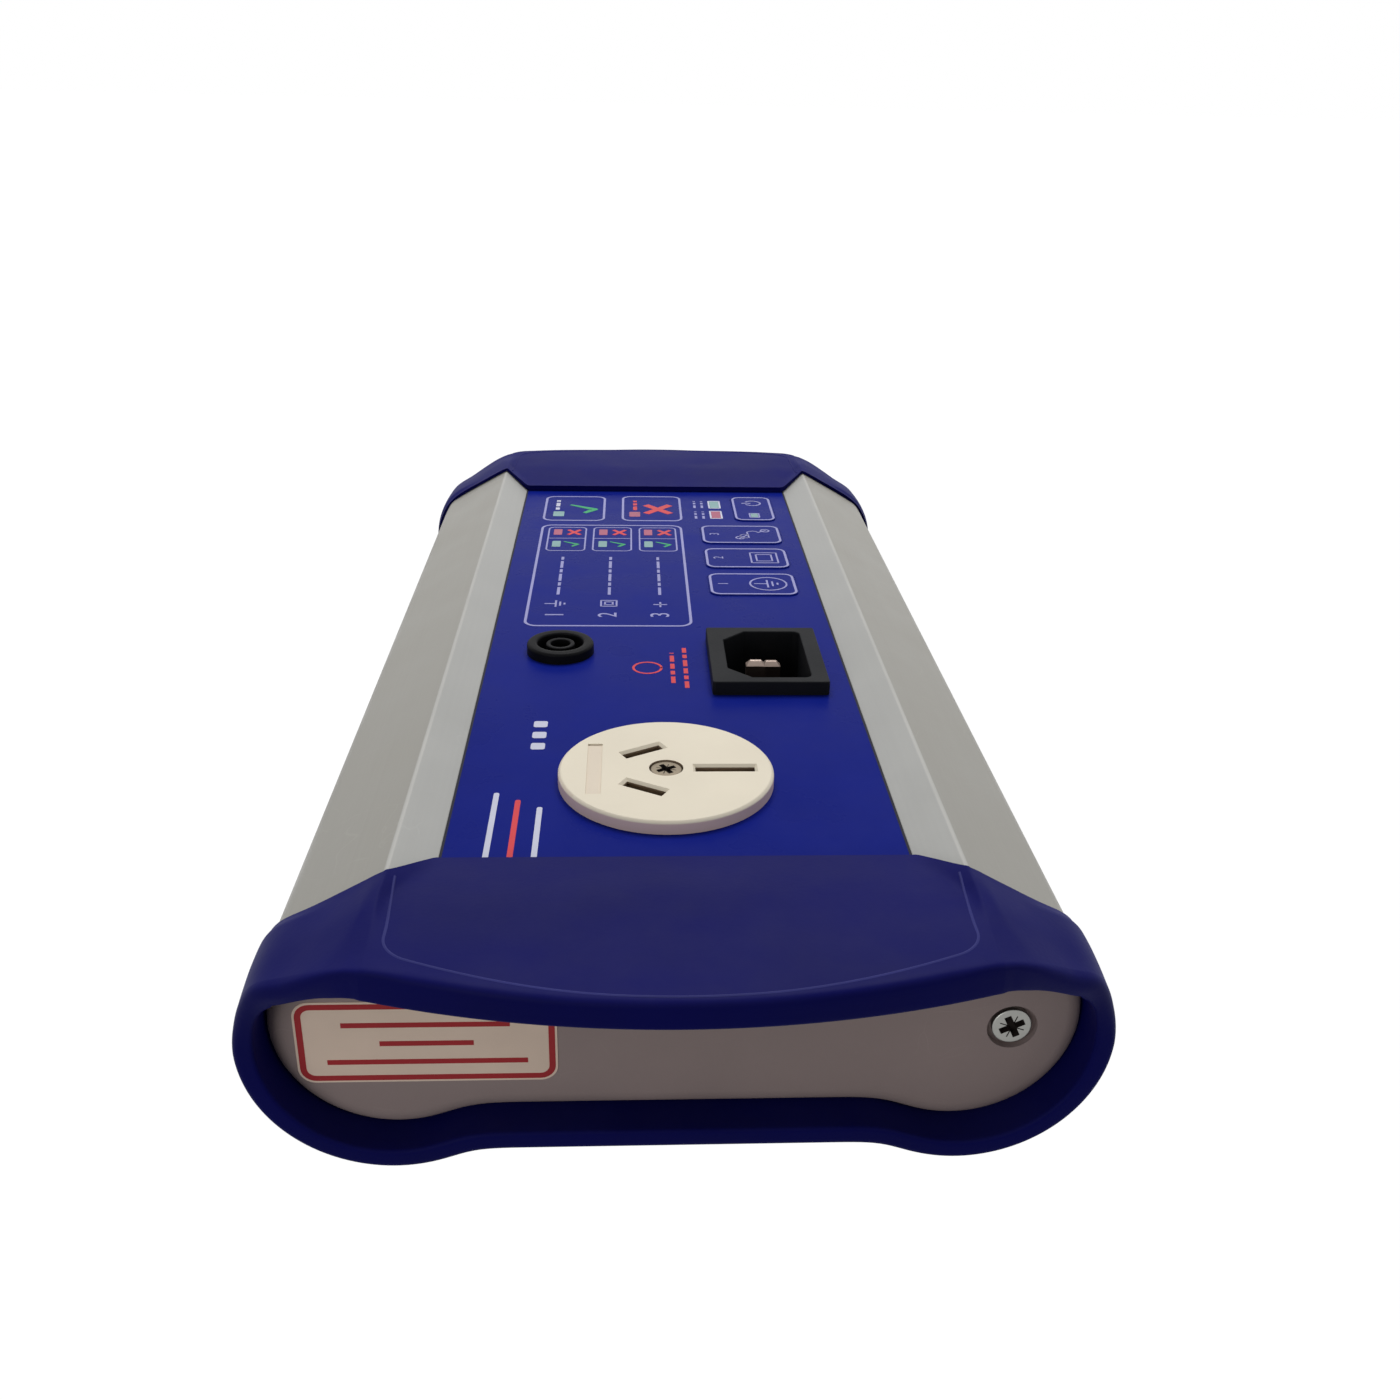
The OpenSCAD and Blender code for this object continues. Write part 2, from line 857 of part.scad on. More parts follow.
line_slot_x = -3.96;
line_slot_y = 6.86;
line_slot_turn = 30;
earth_slot_x = 10.3;
outlet_flange_r = outlet_hole_r + 2.2;
outlet_bottom = panel_z - outlet_depth;
outlet_shank_r = 1.6;
outlet_shank_l = 13;
outlet_head_r = 2.75;
outlet_head_t = 1.1;
outlet_seat = outlet_head_t + 0.2;
chamber_w = 4;
chamber_l = 1.4;

contact_tab_w = 4.8;
tab_drop = 5;

module at_line_slots() {
    for (side = [-1, 1])
        translate([line_slot_x, side * line_slot_y])
            rotate(side * line_slot_turn)
                children();
}

module pin_slots(grow_l, grow_w) {
    at_line_slots()
        square([line_slot_l + grow_l, slot_w + grow_w], center = true);
    translate([earth_slot_x, 0])
        square([earth_slot_l + grow_l, slot_w + grow_w], center = true);
}

module outlet_plate() {
    bevel = 0.5;
    recess_x = -13.8;
    recess_w = 2.6;
    recess_l = 18.6;
    recess_depth = 0.3;
    color([0.89, 0.85, 0.76])
        translate([outlet_x, outlet_y, panel_z])
            difference() {
                union() {
                    cylinder(r = outlet_r, h = outlet_t - bevel, $fn = 180);
                    translate([0, 0, outlet_t - bevel])
                        cylinder(r1 = outlet_r, r2 = outlet_r - bevel, h = bevel, $fn = 180);
                }
                translate([0, 0, -cut])
                    linear_extrude(outlet_t + 2 * cut)
                        pin_slots(0, 0);
                translate([0, 0, -cut])
                    cylinder(r = outlet_shank_r + near, h = outlet_t + 2 * cut);
                translate([0, 0, outlet_t - outlet_seat])
                    cylinder(r = outlet_head_r + 0.25, h = outlet_t);
                translate([recess_x, -recess_l / 2, outlet_t - recess_depth])
                    cube([recess_w, recess_l, outlet_t]);
            }
}

outlet_floor_t = 2;

module outlet_body() {
    color([0.86, 0.82, 0.73])
        translate([outlet_x, outlet_y, outlet_bottom])
            difference() {
                union() {
                    cylinder(r = outlet_flange_r, h = ceiling_z - outlet_bottom);
                    cylinder(r = outlet_hole_r - near, h = outlet_depth);
                }
                translate([0, 0, outlet_floor_t])
                    linear_extrude(outlet_depth)
                        pin_slots(chamber_l, chamber_w - slot_w);
                translate([0, 0, -cut])
                    linear_extrude(outlet_depth)
                        pin_slots(contact_tab_w + 0.4 - line_slot_l, 3 * leaf_t - slot_w);
                translate([0, 0, outlet_depth - outlet_shank_l - cut])
                    cylinder(r = outlet_shank_r + near / 2, h = outlet_depth);
            }
}

module outlet_screw() {
    color([0.6, 0.59, 0.57])
        translate([outlet_x, outlet_y, panel_z + outlet_t - outlet_seat])
            screw(outlet_head_r, outlet_head_t, outlet_shank_r, outlet_shank_l);
}

// Two sprung leaves on a bridge, with a solder tab below the body
module contact(slot_l) {
    leaf_l = slot_l + chamber_l - 4 * near;
    leaf_h = 15;
    outer = chamber_w / 2 - near;
    base = outlet_bottom + outlet_floor_t;
    for (side = [-1, 1])
        translate([-leaf_l / 2, side > 0 ? outer - leaf_t : -outer, base])
            cube([leaf_l, leaf_t, leaf_h]);
    translate([-leaf_l / 2, -outer, base])
        cube([leaf_l, 2 * outer, leaf_t]);
    translate([-contact_tab_w / 2, -leaf_t / 2, outlet_bottom - tab_drop])
        cube([contact_tab_w, leaf_t, tab_drop + outlet_floor_t + leaf_t]);
}

module outlet_line_contacts() {
    color([0.78, 0.62, 0.3])
        translate([outlet_x, outlet_y, 0])
            at_line_slots()
                contact(line_slot_l);
}

module outlet_earth_contact() {
    color([0.78, 0.62, 0.3])
        translate([outlet_x + earth_slot_x, outlet_y, 0])
            contact(earth_slot_l);
}

/* Lead inlet: a bevelled cavity with three flat pins */

inlet_mouth = panel_z + inlet_flange_t;
inlet_bottom = panel_z - inlet_depth;
inlet_tab = 9;

module cavity_outline() {
    w = cavity_w / 2;
    l = cavity_l / 2;
    b = cavity_bevel;
    r = cavity_round;
    polygon([[w, r - l], [w, l - r], [w - r, l], [b - w, l], [-w, l - b], [-w, b - l],
        [b - w, -l], [w - r, -l]]);
    for (side = [-1, 1])
        translate([w - r, side * (l - r)])
            circle(r = r, $fn = 32);
}

module at_line_pins() {
    for (side = [-1, 1])
        translate([earth_pin_offset / 2, side * line_pin_pitch / 2])
            children();
}

module at_earth_pin() {
    translate([-earth_pin_offset / 2, 0])
        children();
}

module inlet_housing() {
    latch_l = 0.8;
    latch_h = 4;
    hook_w = 8;
    color([0.05, 0.05, 0.06])
        translate([inlet_x, inlet_y, 0]) {
            difference() {
                union() {
                    translate([0, 0, panel_z])
                        linear_extrude(inlet_flange_t)
                            rounded_rect(inlet_flange_w, inlet_flange_l, 0.6);
                    translate([0, 0, inlet_bottom])
                        linear_extrude(inlet_depth)
                            square([inlet_body_w, inlet_body_l], center = true);
                }
                translate([0, 0, inlet_mouth - cavity_depth])
                    linear_extrude(cavity_depth + cut)
                        cavity_outline();
                translate([0, 0, inlet_bottom - cut])
                    linear_extrude(inlet_depth) {
                        at_line_pins()
                            square([pin_w + near, pin_t + near], center = true);
                        at_earth_pin()
                            square([pin_w + near, pin_t + near], center = true);
                    }
            }
            for (side = [-1, 1])
                translate([hook_w / 2, 0, ceiling_z - near])
                    mirror([0, side > 0 ? 0 : 1, 0])
                        rotate([90, 0, -90])
                            linear_extrude(hook_w)
                                polygon([[-inlet_body_l / 2, 0],
                                    [-inlet_body_l / 2 - latch_l, 0],
                                    [-inlet_body_l / 2, -latch_h]]);
        }
}

// Side view of a blade whose tip is bevelled on both edges
module blade_side(w, h) {
    tip = 1;
    inset = 0.5;
    polygon([[-w / 2, 0], [w / 2, 0], [w / 2, h - tip], [w / 2 - inset, h], [inset - w / 2, h],
        [-w / 2, h - tip]]);
}

module blade(tip_depth) {
    tab_w = 4.8;
    tab_t = 0.8;
    h = inlet_mouth - tip_depth - inlet_bottom;
    translate([0, 0, inlet_bottom])
        intersection() {
            rotate([90, 0, 0])
                linear_extrude(2 * pin_w, center = true)
                    blade_side(pin_w, h);
            rotate([90, 0, 90])
                linear_extrude(2 * pin_w, center = true)
                    blade_side(pin_t, h);
        }
    translate([-tab_w / 2, -tab_t / 2, inlet_bottom - inlet_tab])
        cube([tab_w, tab_t, inlet_tab]);
}

module inlet_pins() {
    color([0.75, 0.6, 0.45])
        translate([inlet_x, inlet_y, 0]) {
            at_line_pins()
                blade(line_tip_depth);
            at_earth_pin()
                blade(earth_tip_depth);
        }
}

/* Earth jack: guarded four millimetre socket */

jack_bottom = panel_z - jack_barrel_l;
jack_face = panel_z + jack_flange_t;
jack_tail = 5;

module jack_body() {
    bevel = 0.6;
    guard_depth = 14;
    sleeve_drop = 0.4;
    mouth_r = socket_bore_r + 0.25;
    color([0.05, 0.05, 0.055])
        translate([jack_x, jack_y, 0])
            difference() {
                union() {
                    translate([0, 0, panel_z])
                        cylinder(r = jack_flange_r, h = jack_flange_t - bevel);
                    translate([0, 0, jack_face - bevel])
                        cylinder(r1 = jack_flange_r, r2 = jack_flange_r - bevel, h = bevel);
                    translate([0, 0, jack_bottom])
                        cylinder(r = jack_barrel_r, h = jack_barrel_l);
                }
                translate([0, 0, jack_face - guard_depth])
                    difference() {
                        cylinder(r = guard_r, h = guard_depth + cut);
                        translate([0, 0, -cut])
                            cylinder(r = sleeve_r, h = guard_depth + 2 * cut);
                    }
                translate([0, 0, jack_face - sleeve_drop])
                    cylinder(r1 = guard_r, r2 = guard_r + sleeve_drop, h = sleeve_drop + near);
                translate([0, 0, jack_bottom - cut])
                    cylinder(r = mouth_r, h = jack_barrel_l + jack_flange_t + 2 * cut);
                translate([0, 0, jack_bottom - cut])
                    cylinder(r = socket_r + near / 2,
                        h = jack_face - socket_recess - jack_bottom + cut);
            }
}

module jack_socket() {
    top = jack_face - socket_recess;
    plug_h = 3;
    color([0.72, 0.68, 0.6])
        translate([jack_x, jack_y, 0])
            difference() {
                union() {
                    translate([0, 0, jack_bottom])
                        cylinder(r = socket_r, h = top - jack_bottom);
                    translate([0, 0, jack_bottom - jack_tail])
                        cylinder(r = 1.4, h = jack_tail);
                }
                translate([0, 0, jack_bottom + plug_h])
                    cylinder(r = socket_bore_r, h = top);
            }
}

module jack_nut() {
    nut_h = 3;
    nut_r = 8;
    color([0.7, 0.7, 0.7])
        translate([jack_x, jack_y, ceiling_z - nut_h])
            difference() {
                cylinder(r = nut_r, h = nut_h, $fn = 6);
                translate([0, 0, -cut])
                    cylinder(r = jack_barrel_r + near, h = nut_h + 2 * cut);
            }
}

/* Main board and what stands or hangs on it */

board_end = tube_end - board_end_gap;
board_start = board_end - board_l;

module main_board() {
    color([0.1, 0.35, 0.2])
        translate([-board_hw, board_start, board_z])
            cube([2 * board_hw, board_l, board_t]);
}

// Three relays in a row, hanging from the board
relay_size = [15, 19, 14.5];
relay_x = -45;
relay_pitch = 17;
relay_setback = 22;

module relays() {
    color([0.1, 0.15, 0.4])
        for (i = [0:2])
            translate([relay_x + i * relay_pitch, board_start + relay_setback,
                board_z - relay_size[2]])
                cube(relay_size);
}

core_x = 22;
core_setback = 32;
core_y = board_start + core_setback;
core_w = 25;
core_h = 16;
bobbin_l = 16;
limb = 6;
core_z = board_z - core_h;

// Closed ferrite frame with a middle limb
module transformer_core() {
    side = limb / 2;
    color([0.2, 0.2, 0.22])
        translate([core_x, core_y, core_z + core_h / 2])
            rotate([90, 0, 0])
                translate([0, 0, -limb / 2])
                    linear_extrude(limb)
                        difference() {
                            square([core_w, core_h], center = true);
                            for (s = [-1, 1])
                                translate([s * (core_w / 4), 0])
                                    square([core_w / 2 - limb / 2 - side, core_h - limb],
                                        center = true);
                        }
}

bobbin_wall = 0.8;
bobbin_h = core_h - limb;
bobbin_reach = core_w / 2 - limb / 2 - near;

module around_limb(z0, z1, r) {
    translate([core_x, core_y, core_z + limb / 2 + z0])
        linear_extrude(z1 - z0)
            difference() {
                square([2 * r, bobbin_l], center = true);
                square(limb + 2 * near, center = true);
            }
}

module transformer_bobbin() {
    cheek = bobbin_wall;
    post = limb + 2 * bobbin_wall;
    pin_x = 8;
    pin_y = 6.5;
    pin_r = 0.5;
    color([0.15, 0.14, 0.12]) {
        around_limb(near, near + cheek, bobbin_reach);
        around_limb(bobbin_h - cheek - near, bobbin_h - near, bobbin_reach);
        translate([core_x, core_y, core_z + limb / 2 + near])
            linear_extrude(bobbin_h - 2 * near)
                difference() {
                    square(post, center = true);
                    square(limb + 2 * near, center = true);
                }
        for (x = [-1, 1], y = [-1, 1])
            translate([core_x + x * pin_x, core_y + y * pin_y,
                core_z + limb / 2 + bobbin_h - near])
                cylinder(r = pin_r, h = limb / 2 + near, $fn = 24);
    }
}

module transformer_winding() {
    gap = bobbin_wall + 2 * near;
    shy = 0.5;
    color([0.7, 0.35, 0.15])
        translate([core_x, core_y, core_z + limb / 2 + gap])
            linear_extrude(bobbin_h - 2 * gap)
                difference() {
                    square([2 * (bobbin_reach - shy), bobbin_l - 2 * shy], center = true);
                    square(limb + 2 * gap - 2 * near, center = true);
                }
}

module microcontroller() {
    place = [10, 40];
    body = 14;
    body_t = 1.5;
    lead_n = 11;
    pitch = 1;
    leg = [0.4, 1, 0.5];
    color([0.08, 0.08, 0.09])
        translate([place[0], place[1], board_top]) {
            translate([-body / 2, -body / 2, near])
                cube([body, body, body_t]);
            for (turn = [0:3])
                rotate(90 * turn)
                    for (i = [0:lead_n - 1])
                        translate([(i - (lead_n - 1) / 2) * pitch - leg[0] / 2, body / 2, 0])
                            cube(leg);
        }
}

module capacitors() {
    can_r = 4;
    can_h = 6;
    x = -44;
    setback = 24;
    pitch = 11;
    color([0.12, 0.12, 0.3])
        for (i = [0:3])
            translate([x, board_start + setback + i * pitch, board_top])
                cylinder(r = can_r, h = can_h);
}

// Row of screw terminals whose lead holes face the outlet end
terminal_n = 7;
terminal_pitch = 6.5;
terminal_x = -21;
terminal_setback = 6;
terminal_y = board_start + terminal_setback;
terminal_l = 8;
terminal_h = 6;
terminal_hole_z = 2;
terminal_hole_l = 3;
terminal_screw_r = 1.9;
terminal_screw_t = 1.2;

function terminal_column(i) = (i - (terminal_n - 1) / 2) * terminal_pitch;

module terminal_block() {
    w = terminal_n * terminal_pitch;
    color([0.15, 0.5, 0.25])
        translate([terminal_x, terminal_y, board_top])
            difference() {
                translate([-w / 2, -terminal_l / 2, 0])
                    cube([w, terminal_l, terminal_h]);
                for (i = [0:terminal_n - 1])
                    translate([terminal_column(i), 0, 0]) {
                        translate([0, 0, terminal_h - terminal_screw_t - 3 * near])
                            cylinder(r = terminal_screw_r + near, h = terminal_h);
                        translate([0, -terminal_l / 2 - cut, terminal_hole_z])
                            rotate([-90, 0, 0])
                                cylinder(r = lead_r + near, h = terminal_hole_l + cut);
                    }
            }
}

module terminal_screws() {
    slot_w = 0.6;
    slot_depth = 0.5;
    color([0.7, 0.7, 0.7])
        for (i = [0:terminal_n - 1])
            translate([terminal_x + terminal_column(i), terminal_y,
                board_top + terminal_h - terminal_screw_t - 3 * near])
                difference() {
                    cylinder(r = terminal_screw_r, h = terminal_screw_t);
                    translate([-terminal_screw_r - cut, -slot_w / 2, terminal_screw_t - slot_depth])
                        cube([2 * (terminal_screw_r + cut), slot_w, terminal_screw_t]);
                }
}

// Glass fuse held above the board by two clips
fuse_r = 2.5;
fuse_l = 20;
fuse_lift = 3.3;
fuse_x = 20;
fuse_setback = 8;
fuse_y = board_start + fuse_setback;

module fuse() {
    color([0.8, 0.8, 0.78])
        translate([fuse_x - fuse_l / 2, fuse_y, board_top + fuse_lift])
            rotate([0, 90, 0])
                cylinder(r = fuse_r, h = fuse_l);
}

module fuse_clips() {
    clip_l = 3;
    clip_h = 5;
    clip_wall = 0.6;
    color([0.75, 0.75, 0.75])
        for (side = [-1, 1])
            translate([fuse_x + side * (fuse_l - 5) / 2 - clip_l / 2, fuse_y, board_top])
                difference() {
                    translate([0, -fuse_r - clip_wall, 0])
                        cube([clip_l, 2 * (fuse_r + clip_wall), clip_h]);
                    translate([-cut, 0, fuse_lift])
                        rotate([0, 90, 0])
                            cylinder(r = fuse_r + near / 2, h = clip_l + 2 * cut);
                }
}

/* Battery tray with six cells side by side, on a foam pad */

cell_n = 6;
cell_pitch = 2 * cell_r + 0.8;
cell_nub_r = 2.7;
cell_nub_l = 1.2;
contact_size = 10;
plate_face = 0.4;
tray_inner_l = cell_l + 6.2;
tray_w = cell_n * cell_pitch + 2 * tray_wall;
tray_l = tray_inner_l + 2 * tray_wall;
tray_z = floor_top + foam_t;
tray_h = 13.5;
tray_end = board_end - 1;
tray_y = tray_end - tray_l / 2;
cell_z = tray_z + tray_wall + cell_r + near;

// The cells sit against the plates at their nub end, clear of the springs' plates
cell_y = tray_inner_l / 2 - plate_face - near / 2 - cell_nub_l - cell_l;
spring_space = cell_y + tray_inner_l / 2 - plate_face;

module at_cells() {
    for (i = [0:cell_n - 1])
        translate([(i - (cell_n - 1) / 2) * cell_pitch, tray_y, cell_z])
            rotate(i % 2 == 0 ? 0 : 180)
                children();
}

module battery_holder() {
    color([0.07, 0.07, 0.08])
        difference() {
            translate([-tray_w / 2, tray_y - tray_l / 2, tray_z])
                cube([tray_w, tray_l, tray_h]);
            translate([tray_wall - tray_w / 2, tray_y - tray_inner_l / 2, tray_z + tray_wall])
                cube([tray_w - 2 * tray_wall, tray_inner_l, tray_h]);
        }
}

module battery_foam() {
    foam_w = 56;
    foam_l = tray_l - 6;
    color([0.25, 0.25, 0.25])
        translate([-foam_w / 2, tray_y - foam_l / 2, floor_top])
            cube([foam_w, foam_l, foam_t]);
}

module battery_cells() {
    color([0.75, 0.6, 0.2])
        at_cells() {
            translate([0, cell_y, 0])
                rotate([-90, 0, 0])
                    cylinder(r = cell_r, h = cell_l);
            translate([0, cell_y + cell_l, 0])
                rotate([-90, 0, 0])
                    cylinder(r = cell_nub_r, h = cell_nub_l);
        }
}

// Ring of wire points that climbs as it turns
function coil_point(a, turns, r0, r1, h) =
    let (t = a / (360 * turns), r = r0 + (r1 - r0) * t)
    [r * cos(a), h * t, r * sin(a)];

module battery_springs() {
    turns = 2;
    step = 45;
    wire = 0.35;
    sides = 6;
    wide_r = 4.6;
    narrow_r = 2.4;
    h = spring_space - 2 * wire - near;
    n = turns * 360 / step;
    rings = [for (k = [0:n], s = [0:sides - 1])
        let (a = k * step, b = 360 * s / sides,
             p = coil_point(a, turns, wide_r, narrow_r, h), out = [cos(a), 0, sin(a)])
        p + wire * (cos(b) * out + sin(b) * [0, 1, 0])];
    walls = [for (k = [0:n - 1], s = [0:sides - 1])
        let (q = (s + 1) % sides)
        [k * sides + s, (k + 1) * sides + s, (k + 1) * sides + q, k * sides + q]];
    ends = [[for (s = [0:sides - 1]) s], [for (s = [sides - 1:-1:0]) n * sides + s]];
    color([0.8, 0.8, 0.78])
        at_cells()
            translate([0, plate_face + wire + near / 2 - tray_inner_l / 2, 0])
                polyhedron(points = rings, faces = concat(walls, ends), convexity = 6);
}

module battery_plates() {
    color([0.8, 0.8, 0.78])
        at_cells()
            for (y = [-tray_inner_l / 2, tray_inner_l / 2 - plate_face])
                translate([-contact_size / 2, y, -contact_size / 2])
                    cube([contact_size, plate_face, contact_size]);
}

/* Insulated leads, each a run of straight stretches with a ball at each bend */

// Ball's radius over the lead's, which takes in the whole corner of a square bend
bend_swell = 1.5;

module lead(points) {
    for (i = [0:len(points) - 2]) {
        d = points[i + 1] - points[i];
        l = norm(d);
        translate(points[i])
            rotate([0, acos(d[2] / l), atan2(d[1], d[0])])
                cylinder(r = lead_r, h = l, $fn = 24);
    }
    for (i = [1:len(points) - 2])
        translate(points[i])
            sphere(r = lead_r * bend_swell, $fn = 24);
}

function terminal_place(i) =
    [terminal_x + terminal_column(i), terminal_y - terminal_l / 2, board_top + terminal_hole_z];

// Lead from a tab's lower end down a drop, across to a numbered terminal and up to it
module run_lead(start, i, drop) {
    end = terminal_place(i);
    turn_y = board_start - 4;
    z = start[2] - drop;
    lead([start, [start[0], start[1], z], [end[0], turn_y, z], [end[0], turn_y, end[2]], end]);
}

module inlet_leads() {
    x = inlet_x + earth_pin_offset / 2;
    z = inlet_bottom - inlet_tab;
    drop = 4.1;
    color([0.5, 0.3, 0.15]) {
        run_lead([x, inlet_y + line_pin_pitch / 2, z], 6, drop);
        run_lead([x, inlet_y - line_pin_pitch / 2, z], 4, drop);
    }
}

module outlet_leads() {
    x = outlet_x + line_slot_x;
    z = outlet_bottom - tab_drop;
    drop = 3;
    color([0.2, 0.3, 0.6]) {
        run_lead([x, outlet_y + line_slot_y, z], 2, drop);
        run_lead([x, outlet_y - line_slot_y, z], 1, drop);
    }
}

module earth_leads() {
    drop = 1.9;
    color([0.2, 0.55, 0.2]) {
        run_lead([outlet_x + earth_slot_x, outlet_y, outlet_bottom - tab_drop], 3, drop);
        run_lead([inlet_x - earth_pin_offset / 2, inlet_y, inlet_bottom - inlet_tab], 5, drop);
        run_lead([jack_x, jack_y, jack_bottom - jack_tail], 0, drop);
    }
}

module battery_leads() {
    x = 40;
    y = tray_y - tray_l / 2 - lead_r;
    color([0.7, 0.1, 0.1])
        for (side = [-1, 1])
            lead([[side * x, y, tray_z + lead_r], [side * x, y, board_z]]);
}

case_tube();
front_bumper();
rear_bumper();
front_end_plate();
rear_end_plate();
front_end_screws();
rear_end_screws();
seal_label();
panel_overlay();
membrane_circuit();
power_key();  // key_power
key(key_places[2], key_w, key_l);  // key_lead
key(key_places[1], key_w, key_l);  // key_class_two
key(key_places[0], key_w, key_l);  // key_class_one
key_domes();
keypad_tail();
keypad_connector();
lamps_green();
lamps_red();
outlet_plate();
outlet_body();
outlet_screw();
outlet_line_contacts();
outlet_earth_contact();
inlet_housing();
inlet_pins();
jack_body();
jack_socket();
jack_nut();
main_board();
relays();
transformer_core();
transformer_bobbin();
transformer_winding();
microcontroller();
capacitors();
terminal_block();
terminal_screws();
fuse();
fuse_clips();
battery_holder();
battery_foam();
battery_cells();
battery_springs();
battery_plates();
inlet_leads();
outlet_leads();
earth_leads();
battery_leads();
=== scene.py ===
# %% [markdown]
# A portable appliance tester: a ridged metal case between two moulded bumpers, with a film
# keypad, a round test outlet, a lead inlet and an earth jack. The CAD model is loaded as a fixed
# frame, and each step below gives one part of it the shape and finish that the eye sees. The
# pieces could be drawn from nothing, but the frame gives each one its exact place. Blender works
# in metres here. The part's sizes are written in millimetres and turned into metres by MM, and
# the stage and its lamps are given in metres. +Z is up, and +Y runs from the outlet end to the
# keypad end.

# %% Load the frame
import math

import bmesh
import bpy
from mathutils import Matrix, Vector


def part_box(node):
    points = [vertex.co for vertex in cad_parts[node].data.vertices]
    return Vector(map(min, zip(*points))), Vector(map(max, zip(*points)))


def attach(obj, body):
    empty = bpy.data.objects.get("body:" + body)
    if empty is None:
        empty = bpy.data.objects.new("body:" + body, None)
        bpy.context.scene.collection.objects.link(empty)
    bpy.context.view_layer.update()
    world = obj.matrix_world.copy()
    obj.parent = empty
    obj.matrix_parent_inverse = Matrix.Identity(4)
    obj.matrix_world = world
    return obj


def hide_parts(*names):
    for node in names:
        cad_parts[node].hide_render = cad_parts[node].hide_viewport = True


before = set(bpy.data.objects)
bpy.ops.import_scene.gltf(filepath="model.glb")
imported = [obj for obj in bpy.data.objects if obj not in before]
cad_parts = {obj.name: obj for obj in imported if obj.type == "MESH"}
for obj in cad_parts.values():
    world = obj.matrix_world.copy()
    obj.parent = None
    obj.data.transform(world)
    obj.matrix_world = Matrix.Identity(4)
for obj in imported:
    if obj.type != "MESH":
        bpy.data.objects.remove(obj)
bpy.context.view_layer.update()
MM = 0.001

# %% [markdown]
# The camera stands close above the outlet end and looks down along the case, as the photograph
# does. It could be turned by eye until the picture looks alike, but its place and its three
# angles were worked out from the case's long straight lines, because every later comparison
# rests on them.

# %% Camera
CAMERA_PLACE = Vector((-7.43, -286.33, 153.03)) * MM
CAMERA_DOWN, CAMERA_TURN, CAMERA_ROLL = 0.433757, 0.055977, 0.0233812
CAMERA_LENS, CAMERA_SENSOR, CAMERA_NEAR = 35.23, 36.0, 0.01


def add_object(name, data):
    """A new object with this data, linked into the scene."""
    made = bpy.data.objects.new(name, data)
    bpy.context.scene.collection.objects.link(made)
    return made


def aim(down, turn, roll):
    """Rotation of a camera that looks along +Y, turned to the right, then down, then rolled."""
    ahead = Vector((math.sin(turn) * math.cos(down), math.cos(turn) * math.cos(down), -math.sin(down)))
    level = Vector((math.cos(turn), -math.sin(turn), 0))
    above = level.cross(ahead)
    right = level * math.cos(roll) + above * math.sin(roll)
    up = above * math.cos(roll) - level * math.sin(roll)
    return Matrix((right, up, -ahead)).transposed()


camera_data = bpy.data.cameras.new("camera")
camera_data.lens = CAMERA_LENS
camera_data.sensor_width = CAMERA_SENSOR
camera_data.clip_start = CAMERA_NEAR
camera = add_object("camera", camera_data)
aimed = aim(CAMERA_DOWN, CAMERA_TURN, CAMERA_ROLL).to_4x4()
camera.matrix_world = Matrix.Translation(CAMERA_PLACE) @ aimed
bpy.context.scene.camera = camera
print("camera", [round(v, 3) for v in camera.location])

# %% [markdown]
# The real surfaces share a few effects: fine grain, lines drawn along one direction, scuffs, and
# dust that lies on what faces up. They could be painted as pictures, but nodes stay sharp at any
# distance, so each effect is a node group with its own inputs. The helpers here add a node, feed
# its sockets and open a new group.

# %% Node helpers
def feed(tree, socket, value):
    """Links a socket to another one, or gives it a number, a vector or a colour."""
    if isinstance(value, bpy.types.NodeSocket):
        tree.links.new(value, socket)
    else:
        socket.default_value = value


def add(tree, kind, feeds=None, **settings):
    """A new node of that kind, with its settings and what its sockets are fed."""
    node = tree.nodes.new(kind)
    for name, value in settings.items():
        setattr(node, name, value)
    for name, value in (feeds or {}).items():
        feed(tree, node.inputs[name], value)
    return node


def new_group(name, inputs):
    """A node group that has these number inputs and one Value output, with both its ends."""
    tree = bpy.data.node_groups.new(name, "ShaderNodeTree")
    for label, value in inputs.items():
        socket = tree.interface.new_socket(label, in_out="INPUT", socket_type="NodeSocketFloat")
        socket.default_value = value
    tree.interface.new_socket("Value", in_out="OUTPUT", socket_type="NodeSocketFloat")
    return tree, add(tree, "NodeGroupInput"), add(tree, "NodeGroupOutput")


def ramp(tree, source, low, high):
    """Stretches a value from low..high to 0..1, and clamps it."""
    feeds = {"Value": source, "From Min": low, "From Max": high}
    return add(tree, "ShaderNodeMapRange", feeds).outputs["Result"]


def math_node(tree, operation, first, second):
    """A Math node on two sockets or numbers."""
    return add(tree, "ShaderNodeMath", {0: first, 1: second}, operation=operation).outputs[0]


def object_place(tree):
    """Object coordinates, so that a pattern rides with its piece."""
    return add(tree, "ShaderNodeTexCoord").outputs["Object"]


def noise(tree, place, scale, detail, rough=0.5):
    """A noise texture read at a place."""
    return add(tree, "ShaderNodeTexNoise",
               {"Vector": place, "Scale": scale, "Detail": detail, "Roughness": rough})


print("node helpers:", [made.__name__ for made in (add, feed, new_group, ramp, math_node, noise)])

# %% Effect groups
SCRATCH_BEND, SCRATCH_FINER, SCRATCH_WIDTH = (0.01, 0.03, 0.01), 1.6, 0.012


def grain_group():
    """Fine random grain, from 0 to 1."""
    tree, given, out = new_group("grain", {"Scale": 2000.0, "Low": 0.35, "High": 0.65})
    texture = noise(tree, object_place(tree), given.outputs["Scale"], 4.0)
    spread = ramp(tree, texture.outputs["Fac"], given.outputs["Low"], given.outputs["High"])
    feed(tree, out.inputs["Value"], spread)
    return tree


